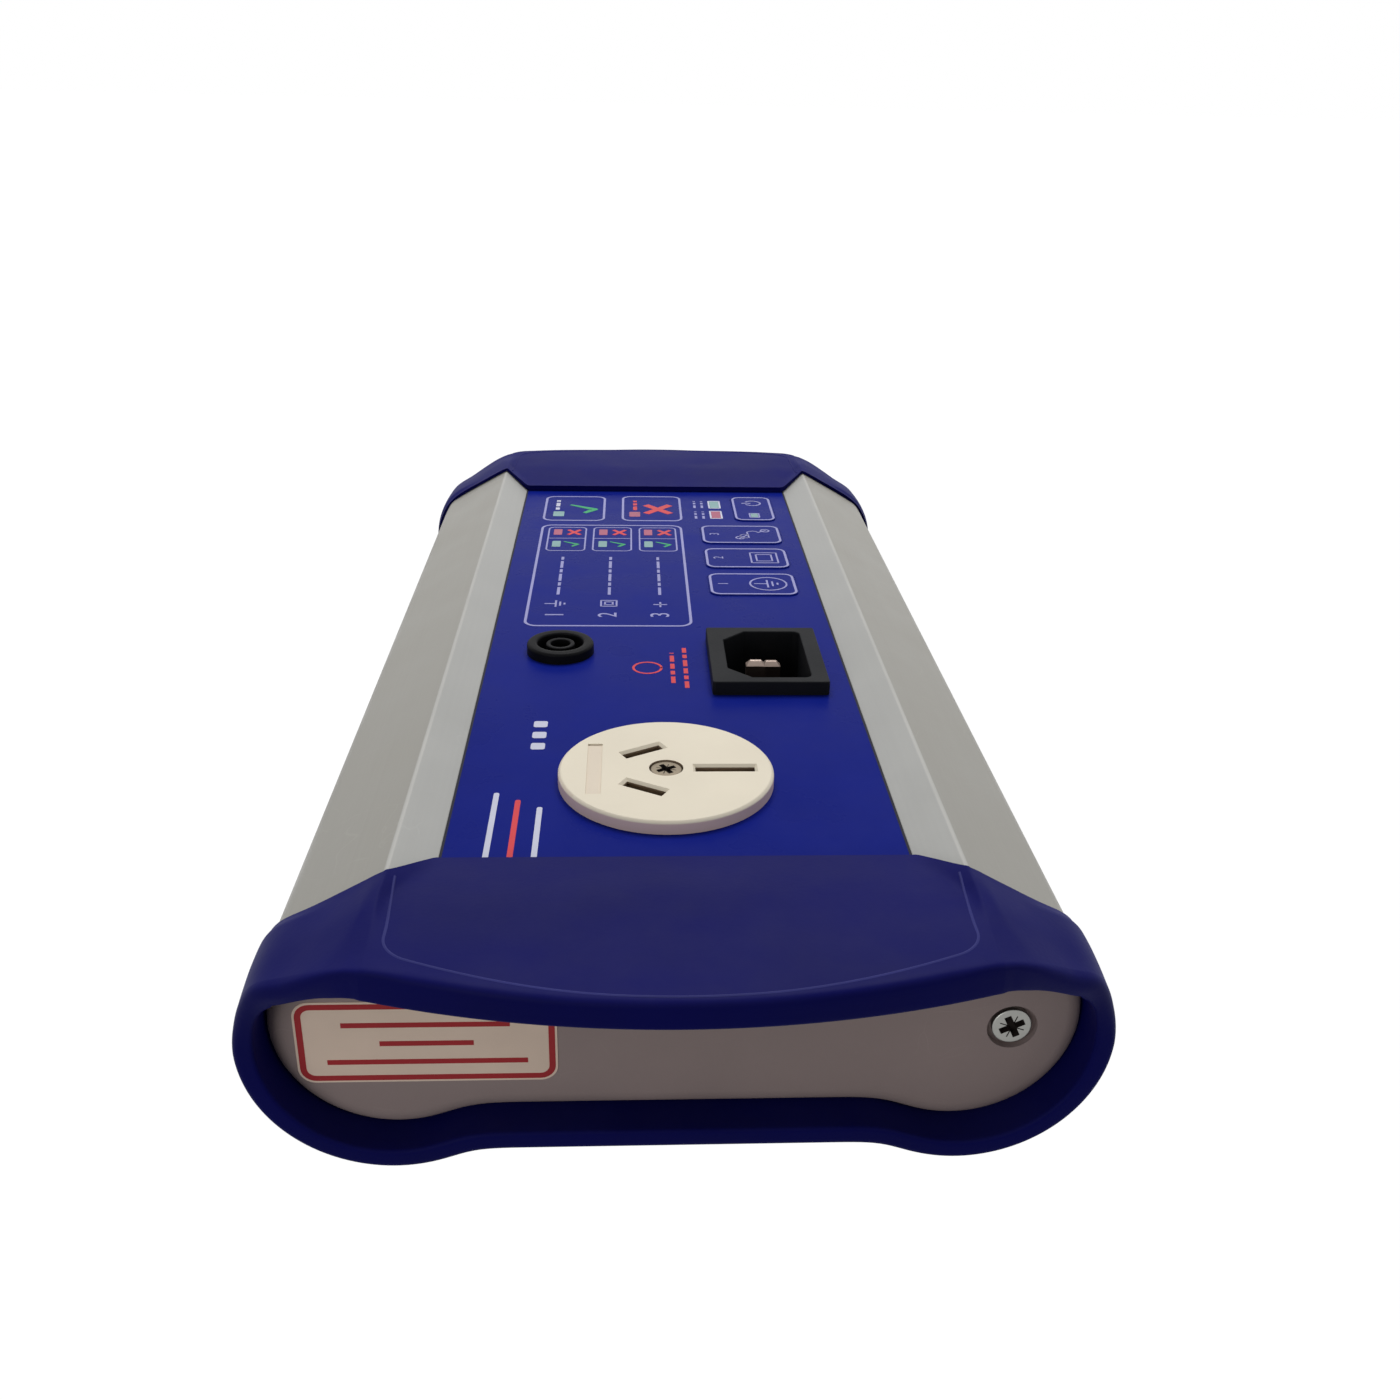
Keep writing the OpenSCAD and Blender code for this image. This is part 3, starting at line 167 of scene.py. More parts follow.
def drawn_group():
    """Long fine lines along Y, as a die leaves on an extrusion."""
    tree, given, out = new_group("drawn_lines", {"Scale": 3000.0, "Stretch": 0.004})
    stretch = add(tree, "ShaderNodeCombineXYZ", {"X": 1.0, "Y": given.outputs["Stretch"], "Z": 1.0})
    scaled = add(tree, "ShaderNodeVectorMath",
                 {0: object_place(tree), 1: stretch.outputs["Vector"]}, operation="MULTIPLY")
    texture = noise(tree, scaled.outputs["Vector"], given.outputs["Scale"], 3.0)
    feed(tree, out.inputs["Value"], ramp(tree, texture.outputs["Fac"], 0.3, 0.7))
    return tree


def scuff_group():
    """Sparse scuffs and short scratches: 1 where the surface is rubbed."""
    tree, given, out = new_group("scuffs", {"Scale": 60.0, "Amount": 0.3})
    place = object_place(tree)
    bend = noise(tree, place, given.outputs["Scale"], 2.0)
    bent = add(tree, "ShaderNodeVectorMath",
               {0: bend.outputs["Color"], 1: SCRATCH_BEND, 2: place}, operation="MULTIPLY_ADD")
    finer = math_node(tree, "MULTIPLY", given.outputs["Scale"], SCRATCH_FINER)
    cells = add(tree, "ShaderNodeTexVoronoi", {"Vector": bent.outputs["Vector"], "Scale": finer},
                feature="DISTANCE_TO_EDGE")
    off_line = ramp(tree, cells.outputs["Distance"], 0.0, SCRATCH_WIDTH)
    hairline = math_node(tree, "SUBTRACT", 1.0, off_line)
    rubbed = math_node(tree, "MULTIPLY", hairline, ramp(tree, bend.outputs["Fac"], 0.52, 0.68))
    feed(tree, out.inputs["Value"], math_node(tree, "MULTIPLY", rubbed, given.outputs["Amount"]))
    return tree


def dust_group():
    """Dust that lies on what faces up, in soft patches."""
    tree, given, out = new_group("dust", {"Scale": 45.0, "Amount": 0.2})
    facing = add(tree, "ShaderNodeNewGeometry").outputs["Normal"]
    upward = ramp(tree, add(tree, "ShaderNodeSeparateXYZ", {"Vector": facing}).outputs["Z"], 0.2, 0.95)
    texture = noise(tree, object_place(tree), given.outputs["Scale"], 6.0, 0.65)
    lying = math_node(tree, "MULTIPLY", upward, ramp(tree, texture.outputs["Fac"], 0.35, 0.75))
    feed(tree, out.inputs["Value"], math_node(tree, "MULTIPLY", lying, given.outputs["Amount"]))
    return tree


GRAIN, DRAWN, SCUFF, DUST = grain_group(), drawn_group(), scuff_group(), dust_group()
print("effect groups:", [g.name for g in (GRAIN, DRAWN, SCUFF, DUST)])

# %% [markdown]
# Every real finish is one colour that wear has made uneven. Each material could be built by
# hand, but one recipe keeps them alike. It mixes a darker and a lighter tone by the grain, lays
# scuffs and dust over them, varies the roughness with the same masks, and lifts the grain as a
# bump. What is even all over, how metallic and how glossy, is set on the shader's own sockets.

# %% Finish recipe
BROAD = 30
LINE_SHADE, RUBBED_SHADE = 0.72, 1.9
GRAIN_ROUGHENS, SCUFF_ROUGHENS, DUST_ROUGHENS = 0.12, 0.2, 0.5
BUMP_STRENGTH = 0.35


def effect(tree, group, **values):
    """Places an effect group in a material and gives its output."""
    return add(tree, "ShaderNodeGroup", values, node_tree=group).outputs["Value"]


def blend_colors(tree, factor, first, second):
    """Mixes two colours, given as sockets or as (r, g, b)."""
    first, second = ((*c, 1.0) if isinstance(c, tuple) else c for c in (first, second))
    feeds = {"Factor": factor, "A": first, "B": second}
    return add(tree, "ShaderNodeMix", feeds, data_type="RGBA").outputs["Result"]


def shade(color, factor):
    return tuple(min(1.0, channel * factor) for channel in color)


def finish(name, color, rough, metal=0.0, tone=0.12, scale=900.0, bump=0.02, drawn=0.0,
           scuff=0.0, dust=0.0, dust_color=(0.42, 0.41, 0.4), specular=0.5):
    """A procedural finish: tone and bump from the grain, with scuffs and dust on top."""
    made = bpy.data.materials.new(name)
    made.use_nodes = True
    tree = made.node_tree
    grain = height = effect(tree, GRAIN, Scale=scale)
    broad = effect(tree, GRAIN, Scale=scale / BROAD, Low=0.3, High=0.7)
    surface = blend_colors(tree, broad, shade(color, 1 - tone), shade(color, 1 + tone))
    worn = math_node(tree, "MULTIPLY", broad, GRAIN_ROUGHENS)
    if drawn:
        lines = effect(tree, DRAWN, Scale=scale)
        share = math_node(tree, "MULTIPLY", lines, drawn)
        surface = blend_colors(tree, share, surface, shade(color, LINE_SHADE))
        height = math_node(tree, "ADD", grain, lines)
    for group, amount, tint, roughens in ((SCUFF, scuff, shade(color, RUBBED_SHADE), SCUFF_ROUGHENS),
                                          (DUST, dust, dust_color, DUST_ROUGHENS)):
        if amount:
            layer = effect(tree, group, Amount=amount)
            surface = blend_colors(tree, layer, surface, tint)
            worn = math_node(tree, "ADD", worn, math_node(tree, "MULTIPLY", layer, roughens))
    lift = add(tree, "ShaderNodeBump",
               {"Height": height, "Strength": BUMP_STRENGTH, "Distance": bump * MM})
    roughness = math_node(tree, "ADD", worn, rough - GRAIN_ROUGHENS / 2)
    shader = tree.nodes["Principled BSDF"]
    for label, value in {"Base Color": surface, "Roughness": roughness, "Metallic": metal,
                         "Normal": lift.outputs["Normal"], "Specular IOR Level": specular}.items():
        feed(tree, shader.inputs[label], value)
    return made


print("a drawn line and a scuff on mid grey:",
      [round(shade((0.5,), factor)[0], 2) for factor in (LINE_SHADE, RUBBED_SHADE)])

# %% [markdown]
# The real surfaces are drawn metal, rubber, paint, paper, film, ink and plastics. Each could have a call of
# its own, but a table shows side by side what sets them apart: colour, roughness and the rest. What several
# share, as the inks or the faces of the extrusion do, is written once. Some rows are painted light: lighter
# copies of the metal on the slopes beside the panel and on the ridges, and a paler painted highlight on the
# bead at the outlet end. Others are painted shade, for the screws' recesses, the pins below their tips, and
# the outlet's slots. The outlet's side gets a pinker painted tint, and the film's edges their dark cut edge
# with painted shade for the gap beside them. The outlet's recess floor has a slightly darker tone of its
# own.

# %% Finishes
EXTRUSION = dict(metal=0.12, tone=0.03, scale=1500, bump=0.01, drawn=0.10, specular=0.15)
BRIGHT_METAL = dict(tone=0.15, scale=2200, bump=0.01)
PAPER = dict(scale=2500, bump=0.01, specular=0.2)
PRINT = dict(scale=2600, bump=0.004, specular=0.1)
LIT_WINDOW = dict(tone=0.18, scale=2000, bump=0.004, specular=0.2)
CREAM_MOULDING = dict(scale=1200, bump=0.01, specular=0.2)
BLACK_MOULDING = dict(tone=0.12, scale=1800)
FINISHES = {
    "case_metal": ((0.285, 0.276, 0.250), 0.42, dict(EXTRUSION, scuff=0.10, dust=0.06)),
    # The next two rows are lighter copies of the case's metal: painted light on the slopes beside the panel,
    # and a painted highlight along the ridges.
    "facet_metal": ((0.355, 0.355, 0.34), 0.42, dict(EXTRUSION, scuff=0.06, dust=0.03)),
    "ridge_metal": ((0.37, 0.366, 0.348), 0.45, dict(EXTRUSION, tone=0.04, specular=0.2)),
    "bumper_rubber": ((0.0035, 0.004, 0.082), 0.55,
                      dict(tone=0.10, scale=1400, scuff=0.06, dust=0.015, specular=0.042)),
    # A paler blue for the bead at the outlet end: a painted highlight.
    "bead_painted_highlight": ((0.030, 0.032, 0.15), 0.5, dict(tone=0.2, bump=0.01, specular=0.05)),
    "plate_paint": ((0.33, 0.26, 0.25), 0.55,
                    dict(tone=0.05, scale=1800, bump=0.03, scuff=0.12, specular=0.25)),
    "screw_steel": ((0.26, 0.26, 0.245), 0.34, dict(metal=1.0, tone=0.15, scale=2500, bump=0.01)),
    "aged_steel": ((0.16, 0.13, 0.09), 0.5, dict(metal=0.6, tone=0.25, scuff=0.2)),
    # A near-black painted shade for the faces inside the screws' recesses.
    "recess_grime": ((0.018, 0.014, 0.012), 0.8, dict(tone=0.3, specular=0.1)),
    "label_paper": ((0.94, 0.75, 0.61), 0.6, dict(PAPER, tone=0.05)),
    "label_ink": ((0.42, 0.034, 0.040), 0.55, dict(PAPER, tone=0.10)),
    "panel_film": ((0.003, 0.0095, 0.170), 0.3,
                   dict(PRINT, tone=0.04, bump=0.003, scuff=0.03, dust=0.01, specular=0.018)),
    "panel_ink": ((0.27, 0.27, 0.50), 0.4, dict(PRINT, tone=0.06)),
    "white_ink": ((0.50, 0.51, 0.62), 0.4, dict(PRINT, tone=0.06)),
    "green_ink": ((0.035, 0.30, 0.12), 0.4, dict(PRINT, tone=0.10)),
    "red_ink": ((0.56, 0.05, 0.06), 0.4, dict(PRINT, tone=0.10)),
    "red_window": ((0.32, 0.06, 0.12), 0.3, LIT_WINDOW),
    "green_window": ((0.17, 0.31, 0.31), 0.3, LIT_WINDOW),
    "outlet_plastic": ((0.68, 0.62, 0.50), 0.38,
                       dict(CREAM_MOULDING, tone=0.04, dust=0.10, dust_color=(0.5, 0.42, 0.32))),
    # The outlet's recess floor has a slightly darker tone. Its side gets a pinker tint as painted light, and
    # its slots' walls a dark painted shade.
    "recess_shade": ((0.64, 0.56, 0.455), 0.5, dict(CREAM_MOULDING, tone=0.06)),
    "rim_shade": ((0.70, 0.53, 0.48), 0.5, dict(CREAM_MOULDING, tone=0.05)),
    "slot_shade": ((0.24, 0.175, 0.12), 0.6, dict(CREAM_MOULDING, tone=0.2, specular=0.1)),
    "inlet_plastic": ((0.008, 0.0085, 0.010), 0.5,
                      dict(BLACK_MOULDING, dust=0.05, dust_color=(0.16, 0.16, 0.16), specular=0.05)),
    "jack_plastic": ((0.005, 0.005, 0.006), 0.42,
                     dict(BLACK_MOULDING, bump=0.01, dust=0.03, dust_color=(0.12, 0.12, 0.12),
                          specular=0.04)),
    # Near black for the film's long edges: the film's dark cut edge, with painted shade for the gap beside
    # it.
    "film_edge_and_gap_shade": ((0.012, 0.012, 0.02), 0.6, dict(tone=0.2, scale=2000, bump=0.01, specular=0.1)),
    # A dark painted shade for the pins below their tips, deep in the shroud.
    "pin_shade": ((0.03, 0.02, 0.017), 0.5, dict(BRIGHT_METAL, metal=0.4, tone=0.2)),
    "pin_copper": ((0.36, 0.28, 0.24), 0.4, dict(BRIGHT_METAL, metal=0.6)),
    "contact_brass": ((0.62, 0.48, 0.24), 0.35, dict(BRIGHT_METAL, metal=1.0)),
}
finishes = {name: finish(name, color, rough, **own) for name, (color, rough, own) in FINISHES.items()}
print("finishes of the outer pieces:", len(finishes))

# %% [markdown]
# What lies inside the case is seen only when someone takes it apart, but each piece still gets
# the finish of the real thing: solder-green board, blue relay cases, dark ferrite, enamelled
# wire, printed cell cans and coloured lead insulation. These pieces keep their CAD shapes, so a
# table of colour, roughness, metal and nodes is enough.

# %% Finishes for the inner pieces
INNER_FINISHES = {
    "circuit_film": ((0.55, 0.52, 0.40), 0.3, 0.0, "membrane_circuit"),
    "dome_steel": ((0.62, 0.62, 0.60), 0.28, 1.0,
                   "key_domes jack_nut terminal_screws fuse_clips battery_springs battery_plates"),
    "tail_film": ((0.55, 0.24, 0.05), 0.35, 0.0, "keypad_tail"),
    "connector_nylon": ((0.74, 0.70, 0.60), 0.45, 0.0, "keypad_connector"),
    "green_lens": ((0.22, 0.60, 0.30), 0.25, 0.0, "lamps_green"),
    "red_lens": ((0.62, 0.10, 0.10), 0.25, 0.0, "lamps_red"),
    "board_laminate": ((0.02, 0.14, 0.05), 0.35, 0.0, "main_board"),
    "relay_case": ((0.03, 0.06, 0.22), 0.4, 0.0, "relays"),
    "ferrite": ((0.05, 0.05, 0.055), 0.7, 0.0, "transformer_core"),
    "bobbin_plastic": ((0.04, 0.035, 0.03), 0.5, 0.0, "transformer_bobbin"),
    "winding_enamel": ((0.55, 0.22, 0.08), 0.3, 0.7, "transformer_winding"),
    "chip_epoxy": ((0.015, 0.015, 0.017), 0.6, 0.0, "microcontroller"),
    "capacitor_sleeve": ((0.02, 0.02, 0.07), 0.35, 0.0, "capacitors"),
    "terminal_plastic": ((0.03, 0.26, 0.08), 0.45, 0.0, "terminal_block"),
    "fuse_glass": ((0.66, 0.68, 0.66), 0.12, 0.0, "fuse"),
    "tray_plastic": ((0.015, 0.015, 0.017), 0.5, 0.0, "battery_holder"),
    "foam_pad": ((0.05, 0.05, 0.05), 0.9, 0.0, "battery_foam"),
    "cell_print": ((0.55, 0.36, 0.06), 0.3, 0.5, "battery_cells"),
    "brown_insulation": ((0.16, 0.07, 0.03), 0.45, 0.0, "inlet_leads"),
    "blue_insulation": ((0.03, 0.09, 0.32), 0.45, 0.0, "outlet_leads"),
    "green_insulation": ((0.04, 0.26, 0.05), 0.45, 0.0, "earth_leads"),
    "red_insulation": ((0.42, 0.02, 0.02), 0.45, 0.0, "battery_leads"),
}
SHARED_FINISHES = {"outlet_plastic": "outlet_body", "panel_film": "panel_overlay",
                   "contact_brass": "outlet_line_contacts outlet_earth_contact jack_socket",
                   "label_paper": "seal_label"}


def dress(nodes, name):
    """Gives CAD nodes, named with spaces between, a finish."""
    for node in nodes.split():
        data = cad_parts[node].data
        data.materials.clear()
        data.materials.append(finishes[name])


for name, (color, rough, metal, nodes) in INNER_FINISHES.items():
    finishes[name] = finish(name, color, rough, metal=metal, scale=1600, bump=0.01)
    dress(nodes, name)
for name, nodes in SHARED_FINISHES.items():
    dress(nodes, name)
print("finishes in all:", len(finishes))

# %% [markdown]
# A piece that takes a CAD node's place can be drawn anew, which suits forms that are softer than
# the CAD shape. Where only edges change, it starts from a copy of the node's own mesh, because
# that fits exactly. The helpers copy a CAD node into a bmesh, round its edges, cut one shape out
# of another, and turn a finished bmesh into an object that rides on a body. A Weighted Normal
# modifier keeps large flat faces flat beside small roundings.

# %% Piece helpers
SHARP = math.radians(28)
WELD, FLAT = 0.002 * MM, math.radians(0.5)


def cad_copy(node):
    """A merged copy of a CAD node, with its flat faces joined up again."""
    bm = bmesh.new()
    bm.from_mesh(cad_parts[node].data)
    bmesh.ops.remove_doubles(bm, verts=bm.verts, dist=WELD)
    bmesh.ops.dissolve_limit(bm, angle_limit=FLAT, verts=bm.verts, edges=bm.edges)
    return bm


def round_edges(bm, radius, segments, where, degrees):
    """Rounds the edges sharper than an angle for which where() holds, and counts them."""
    chosen = [e for e in bm.edges if len(e.link_faces) == 2
              and e.calc_face_angle() > math.radians(degrees) and where(e)]
    bmesh.ops.bevel(bm, geom=chosen, offset=radius * MM, offset_type="OFFSET", segments=segments,
                    profile=0.5, affect="EDGES", clamp_overlap=True, material=-1)
    return len(chosen)


def middle(edge):
    return (edge.verts[0].co + edge.verts[1].co) / 2


def mesh_of(bm, name="scratch"):
    """Turns a bmesh into mesh data."""
    data = bpy.data.meshes.new(name)
    bm.to_mesh(data)
    bm.free()
    return data


def piece(name, bm, looks, stands_for=None, body="tester", sharp=SHARP, weighted=True):
    """Turns a bmesh into a piece that rides on a body. looks names its finishes, with spaces
    between, in the order of its faces' material index."""
    for face in bm.faces:
        face.smooth = True
    for edge in bm.edges:
        edge.smooth = len(edge.link_faces) == 2 and edge.calc_face_angle() < sharp
    data = mesh_of(bm, name)
    for used in looks.split():
        data.materials.append(finishes[used])
    made = add_object(name, data)
    if weighted:
        made.modifiers.new("normals", "WEIGHTED_NORMAL").keep_sharp = True
    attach(made, body)
    if stands_for:
        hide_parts(stands_for)
    print(name, len(data.polygons), "faces")


def carve(bm, cutter):
    """Cuts one closed bmesh out of another with a Boolean modifier, and gives the result."""
    solid, tool = (add_object("scratch", mesh_of(part)) for part in (bm, cutter))
    cut = solid.modifiers.new("cut", "BOOLEAN")
    cut.object = tool
    cut.solver = "EXACT"
    cut.use_self = True
    bpy.context.view_layer.update()
    result = bmesh.new()
    result.from_mesh(solid.evaluated_get(bpy.context.evaluated_depsgraph_get()).data)
    for used in (solid, tool):
        data = used.data
        bpy.data.objects.remove(used)
        bpy.data.meshes.remove(data)
    return result


def add_curve(bm, curve, place):
    """Puts a curve or text into a bmesh at a place, and removes the curve."""
    holder = add_object("scratch", curve)
    bpy.context.view_layer.update()
    shape = holder.evaluated_get(bpy.context.evaluated_depsgraph_get())
    data = bpy.data.meshes.new_from_object(shape)
    data.transform(place)
    bm.from_mesh(data)
    bmesh.ops.remove_doubles(bm, verts=bm.verts, dist=0.0005 * MM)
    bpy.data.objects.remove(holder)
    bpy.data.curves.remove(curve)
    bpy.data.meshes.remove(data)


def shaped_box(bm, centre, turn, shape):
    """Adds a box: shape() moves the corners of a unit cube, which is then turned and put down."""
    box = bmesh.ops.create_cube(bm, size=1.0)["verts"]
    for vert in box:
        vert.co = Vector(shape(vert.co))
    bmesh.ops.transform(bm, matrix=Matrix.Translation(centre) @ turn, verts=box)


def cylinder(bm, centre, radius, depth, turn=Matrix.Identity(4), segments=48):
    """Adds a closed cylinder, centred on a point. It stands up unless turned."""
    bmesh.ops.create_cone(bm, cap_ends=True, segments=segments, radius1=radius, radius2=radius,
                          depth=depth, matrix=Matrix.Translation(centre) @ turn)


print("edges are sharp from", round(math.degrees(SHARP)), "degrees on, unless a piece says otherwise")

# %% [markdown]
# The real case is one extrusion, and the die leaves every long edge slightly round, which draws a thin
# bright line along both ridges. A Bevel modifier that goes by the angle would round the cut ends too, so the
# long edges are picked out by their place and rounded with the bevel operator. The slopes beside the panel
# get a lighter copy of the metal as painted light, and the ridges a lighter one still as a painted
# highlight.

# %% Case
RIDGE_X, RIDGE_Z = 43.9, 43.0
PANEL_X, PANEL_Z = 37.4, 39.6
SHOULDER_END_X, SHOULDER_END_Z = 60.18, 33.9
LONG_EDGES = ((RIDGE_X, RIDGE_Z, 0.55, 4), (PANEL_X, PANEL_Z, 0.25, 2),
              (SHOULDER_END_X, SHOULDER_END_Z, 1.0, 4))
EDGE_NEAR, RIDGE_DEPTH = 0.3 * MM, 0.35 * MM
tube_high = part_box("case_tube")[1]
panel_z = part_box("panel_overlay")[1].z


def long_edge_at(x, z):
    """A test for edges that run along the case at one place of its section, on either side."""
    def near(edge):
        spot = middle(edge)
        return (abs(edge.verts[0].co.y - edge.verts[1].co.y) > tube_high.y
                and math.hypot(abs(spot.x) - x * MM, spot.z - z * MM) < EDGE_NEAR)
    return near


case = cad_copy("case_tube")
rounded = [round_edges(case, radius, segments, long_edge_at(x, z), 15)
           for x, z, radius, segments in LONG_EDGES]
# Faces on the slopes beside the panel get a lighter finish as painted light, and faces on the ridges a
# lighter one still as a painted highlight.
for face in case.faces:
    centre = face.calc_center_median()
    inward = face.normal.x * centre.x < 0
    sloped = inward and face.normal.z > 0.5 and abs(face.normal.x) > 0.3
    face.material_index = 2 if tube_high.z - centre.z < RIDGE_DEPTH else 1 if sloped else 0
print("rounded edges at ridge, foot and shoulder:", rounded)
print("faces by finish:", [sum(f.material_index == i for f in case.faces) for i in range(3)])
piece("case_shell", case, "case_metal facet_metal ridge_metal", "case_tube")

# %% [markdown]
# The bumper is one moulding with a closed cross-section that changes all the way round the case:
# a thin sleeve at the mouth, a thick rim at the end, and a bowed visor on top. It could be cut
# from a block, but its surfaces run into each other without an edge. So a grid is laid over it
# like a skin on a ring. Its columns go round the case, its rows go from the mouth over the
# outside, round the rim and back along the inside. Each point of the flat grid is then moved
# to its place by a few plain formulas. Names that end in D are distances along the case from its
# middle, and a name with RUN or BAND in it is a stretch over which one form turns into another.

# %% Bumper sizes
LOBE_X, LOBE_Z, LOBE_R = 43.0, 22.0, 20.9
SLOPE = math.tan(math.radians(29.2))
SLOPE_COS = math.cos(math.atan(SLOPE))
FLOOR_Z = 4.4
LIP_D, SHOULDER_D, SIDE_D, SHOULDER_W = 103.0, 111.5, 106.0, 11.15
TUBE_D, PLATE_D, RIM_D, VISOR_D = 115.2, 117.0, 125.4, 141.4
BUMPER_X = 65.2
BOW = VISOR_D - RIM_D
BOW_R = (BUMPER_X ** 2 + BOW ** 2) / (2 * BOW)
print("radius of the visor's bow:", round(BOW_R, 1), "mm")


def smooth_step(value, low, high):
    t = min(1.0, max(0.0, (value - low) / (high - low)))
    return t * t * (3 - 2 * t)


def mix(a, b, t):
    return a + (b - a) * t


def soft_min(a, b, width):
    """The smaller of two numbers, with a round passage between them."""
    h = min(1.0, max(0.0, 0.5 + 0.5 * (b - a) / width))
    return b + (a - b) * h - width * h * (1 - h)


def soft_max(a, b, width):
    return -soft_min(-a, -b, width)


def soften(values, passes, first=1, spared=1):
    """Averages each value with its neighbours, but for the first and the spared last ones."""
    inner = range(first, len(values) - spared)
    for _ in range(passes):
        values[first:-spared] = [(values[i - 1] + 2 * values[i] + values[i + 1]) / 4 for i in inner]
    return values


# %% Outline of the case, from the top's middle to the underside's middle
LEVEL_X = 36
LEVEL_STEP, RISE_STEP, SHOULDER_STEP, LOBE_STEP, UNDER_STEP = 1.0, 0.25, 0.8, 0.045, 1.2


def steps(start, end, size):
    """Evenly spaced numbers from start up to but without end, about a size apart."""
    count = max(1, round(abs(end - start) / size))
    return [start + (end - start) * i / count for i in range(count)]


def half_outline():
    """Points round one half of the case, with the corner beside the shoulder and the one
    below the lobe drawn round by averaging neighbours."""
    across = [(x, PANEL_Z) for x in steps(0, LEVEL_X, LEVEL_STEP)]
    across += [(x, PANEL_Z + max(0, x - PANEL_X) * (RIDGE_Z - PANEL_Z) / (RIDGE_X - PANEL_X))
               for x in steps(LEVEL_X, RIDGE_X, RISE_STEP)]
    shoulder = [(x, RIDGE_Z - (x - RIDGE_X) * SLOPE)
                for x in steps(RIDGE_X, SHOULDER_END_X, SHOULDER_STEP)]
    start = math.atan2(SHOULDER_END_Z - LOBE_Z, SHOULDER_END_X - LOBE_X)
    stop = -math.pi + math.asin((LOBE_Z - FLOOR_Z) / LOBE_R)
    lobe = [(LOBE_X + LOBE_R * math.cos(a), LOBE_Z + LOBE_R * math.sin(a))
            for a in steps(start, stop, LOBE_STEP)]
    under = [(x, FLOOR_Z) for x in steps(LOBE_X + LOBE_R * math.cos(stop), 0, UNDER_STEP)]
    line = [Vector(p) for p in across + shoulder + lobe + under + [(0, FLOOR_Z)]]
    return soften(line, passes=14, first=len(across) + 4, spared=2), len(across)


def outward(line, top):
    """Normals of the outline. Across the top they point straight up."""
    found = []
    for i in range(len(line)):
        ahead, behind = line[min(i + 1, len(line) - 1)], line[max(i - 1, 0)]
        along = (ahead - behind).normalized()
        found.append(Vector((0, 1)) if i <= top else Vector((-along.y, along.x)))
    found[-1] = Vector((0, -1))
    return found


OUTLINE, TOP_COLUMNS = half_outline()
NORMALS = outward(OUTLINE, TOP_COLUMNS)
print("outline:", len(OUTLINE), "columns in one half,", TOP_COLUMNS, "across the top")

# %% Where the bumper starts and ends, seen from above
def bow_edge(x):
    """Distance of the visor's bowed edge."""
    return VISOR_D - BOW_R + math.sqrt(BOW_R ** 2 - x * x)


def mouth_distance(x, z):
    """Where the bumper starts: a lip, diagonals over the facets, shoulders, and the sides."""
    if z < LOBE_Z:
        return SIDE_D
    if x < RIDGE_X:
        return mix(LIP_D, SHOULDER_D, max(0.0, (x - PANEL_X) / (RIDGE_X - PANEL_X)))
    inner, depth = LOBE_X + LOBE_R / 2, SHOULDER_D - SIDE_D
    if x < inner:
        return SHOULDER_D
    radius = (SHOULDER_W ** 2 + depth ** 2) / (2 * depth)
    return max(SIDE_D, SHOULDER_D - radius + math.sqrt(max(0.0, radius ** 2 - (x - inner) ** 2)))


mouths = soften([mouth_distance(p.x, p.y) for p in OUTLINE], passes=6)
print("mouth from", round(min(mouths), 1), "to", round(max(mouths), 1), "mm")

# %% Height of the pad and the shoulders
PAD_Z, LIP_Z, CREST_Z, PAD_X = 42.7, 41.0, 44.3, 42.3
PAD_RISE, PAD_FALL, SHOULDER_FALL = 0.6, 0.3, 0.8
LIP_RUN, FOOT_RUN = (LIP_D - 4, SHOULDER_D + 8), (LIP_D, SHOULDER_D + 6)
FALL_RUN, CREST_RUN = (125, VISOR_D), (113, 133)
PAD_SIDE_BAND, SHOULDER_BAND = (10, 40), (-62, -55)
CLIMB_SOFT, MOUTH_SOFT, CREST_SOFT = 0.6, 0.5, 3.0


def dish(x, distance, front):
    """Height of the pad: it rises from the lip, and its sides climb to the ridges. Towards the
    visor's crest the climb fades, and the pad is a little higher at its sides than in its middle."""
    flat = mix(LIP_Z, PAD_Z, smooth_step(distance, *LIP_RUN))
    flat += PAD_RISE * front * smooth_step(x, *PAD_SIDE_BAND) - PAD_FALL * smooth_step(distance, *FALL_RUN)
    foot = mix(PANEL_X, PAD_X, smooth_step(distance, *FOOT_RUN))
    climb = (CREST_Z - flat) / (RIDGE_X - foot)
    return mix(soft_max(flat, flat + (x - foot) * climb, CLIMB_SOFT), flat, front)


def top_height(x, distance, shoulder):
    """Height where the pad meets the shoulder: crisp at the mouth, soft at the visor's crest."""
    front = smooth_step(distance, *CREST_RUN)
    shoulder -= SHOULDER_FALL * front * smooth_step(-x, *SHOULDER_BAND)
    return soft_min(dish(x, distance, front), shoulder, mix(MOUTH_SOFT, CREST_SOFT, front))


print("pad's middle at the lip and at the crest:",
      [round(dish(0, distance, front), 2) for distance, front in ((LIP_D, 0), (VISOR_D, 1))], "mm")

# %% Outer and inner surfaces, for one column and a distance
MOUTH_GROW, RIM_GROW, SLEEVE = 0.95, 1.36, 0.15
GROW_END, SWELL_LENGTH, EASE_RUN = RIM_D - 3, 3, (112, 127)
CORNER_SWELL, CORNER_EASE = 0.5, 0.3
CORNER_BAND_Z, CORNER_BAND_X, ROOF_BAND_X = (20, 30), (50, 58), (RIDGE_X, 52)
SHOULDER_EDGE_X, ROOF_SOFT = 62, 4.0


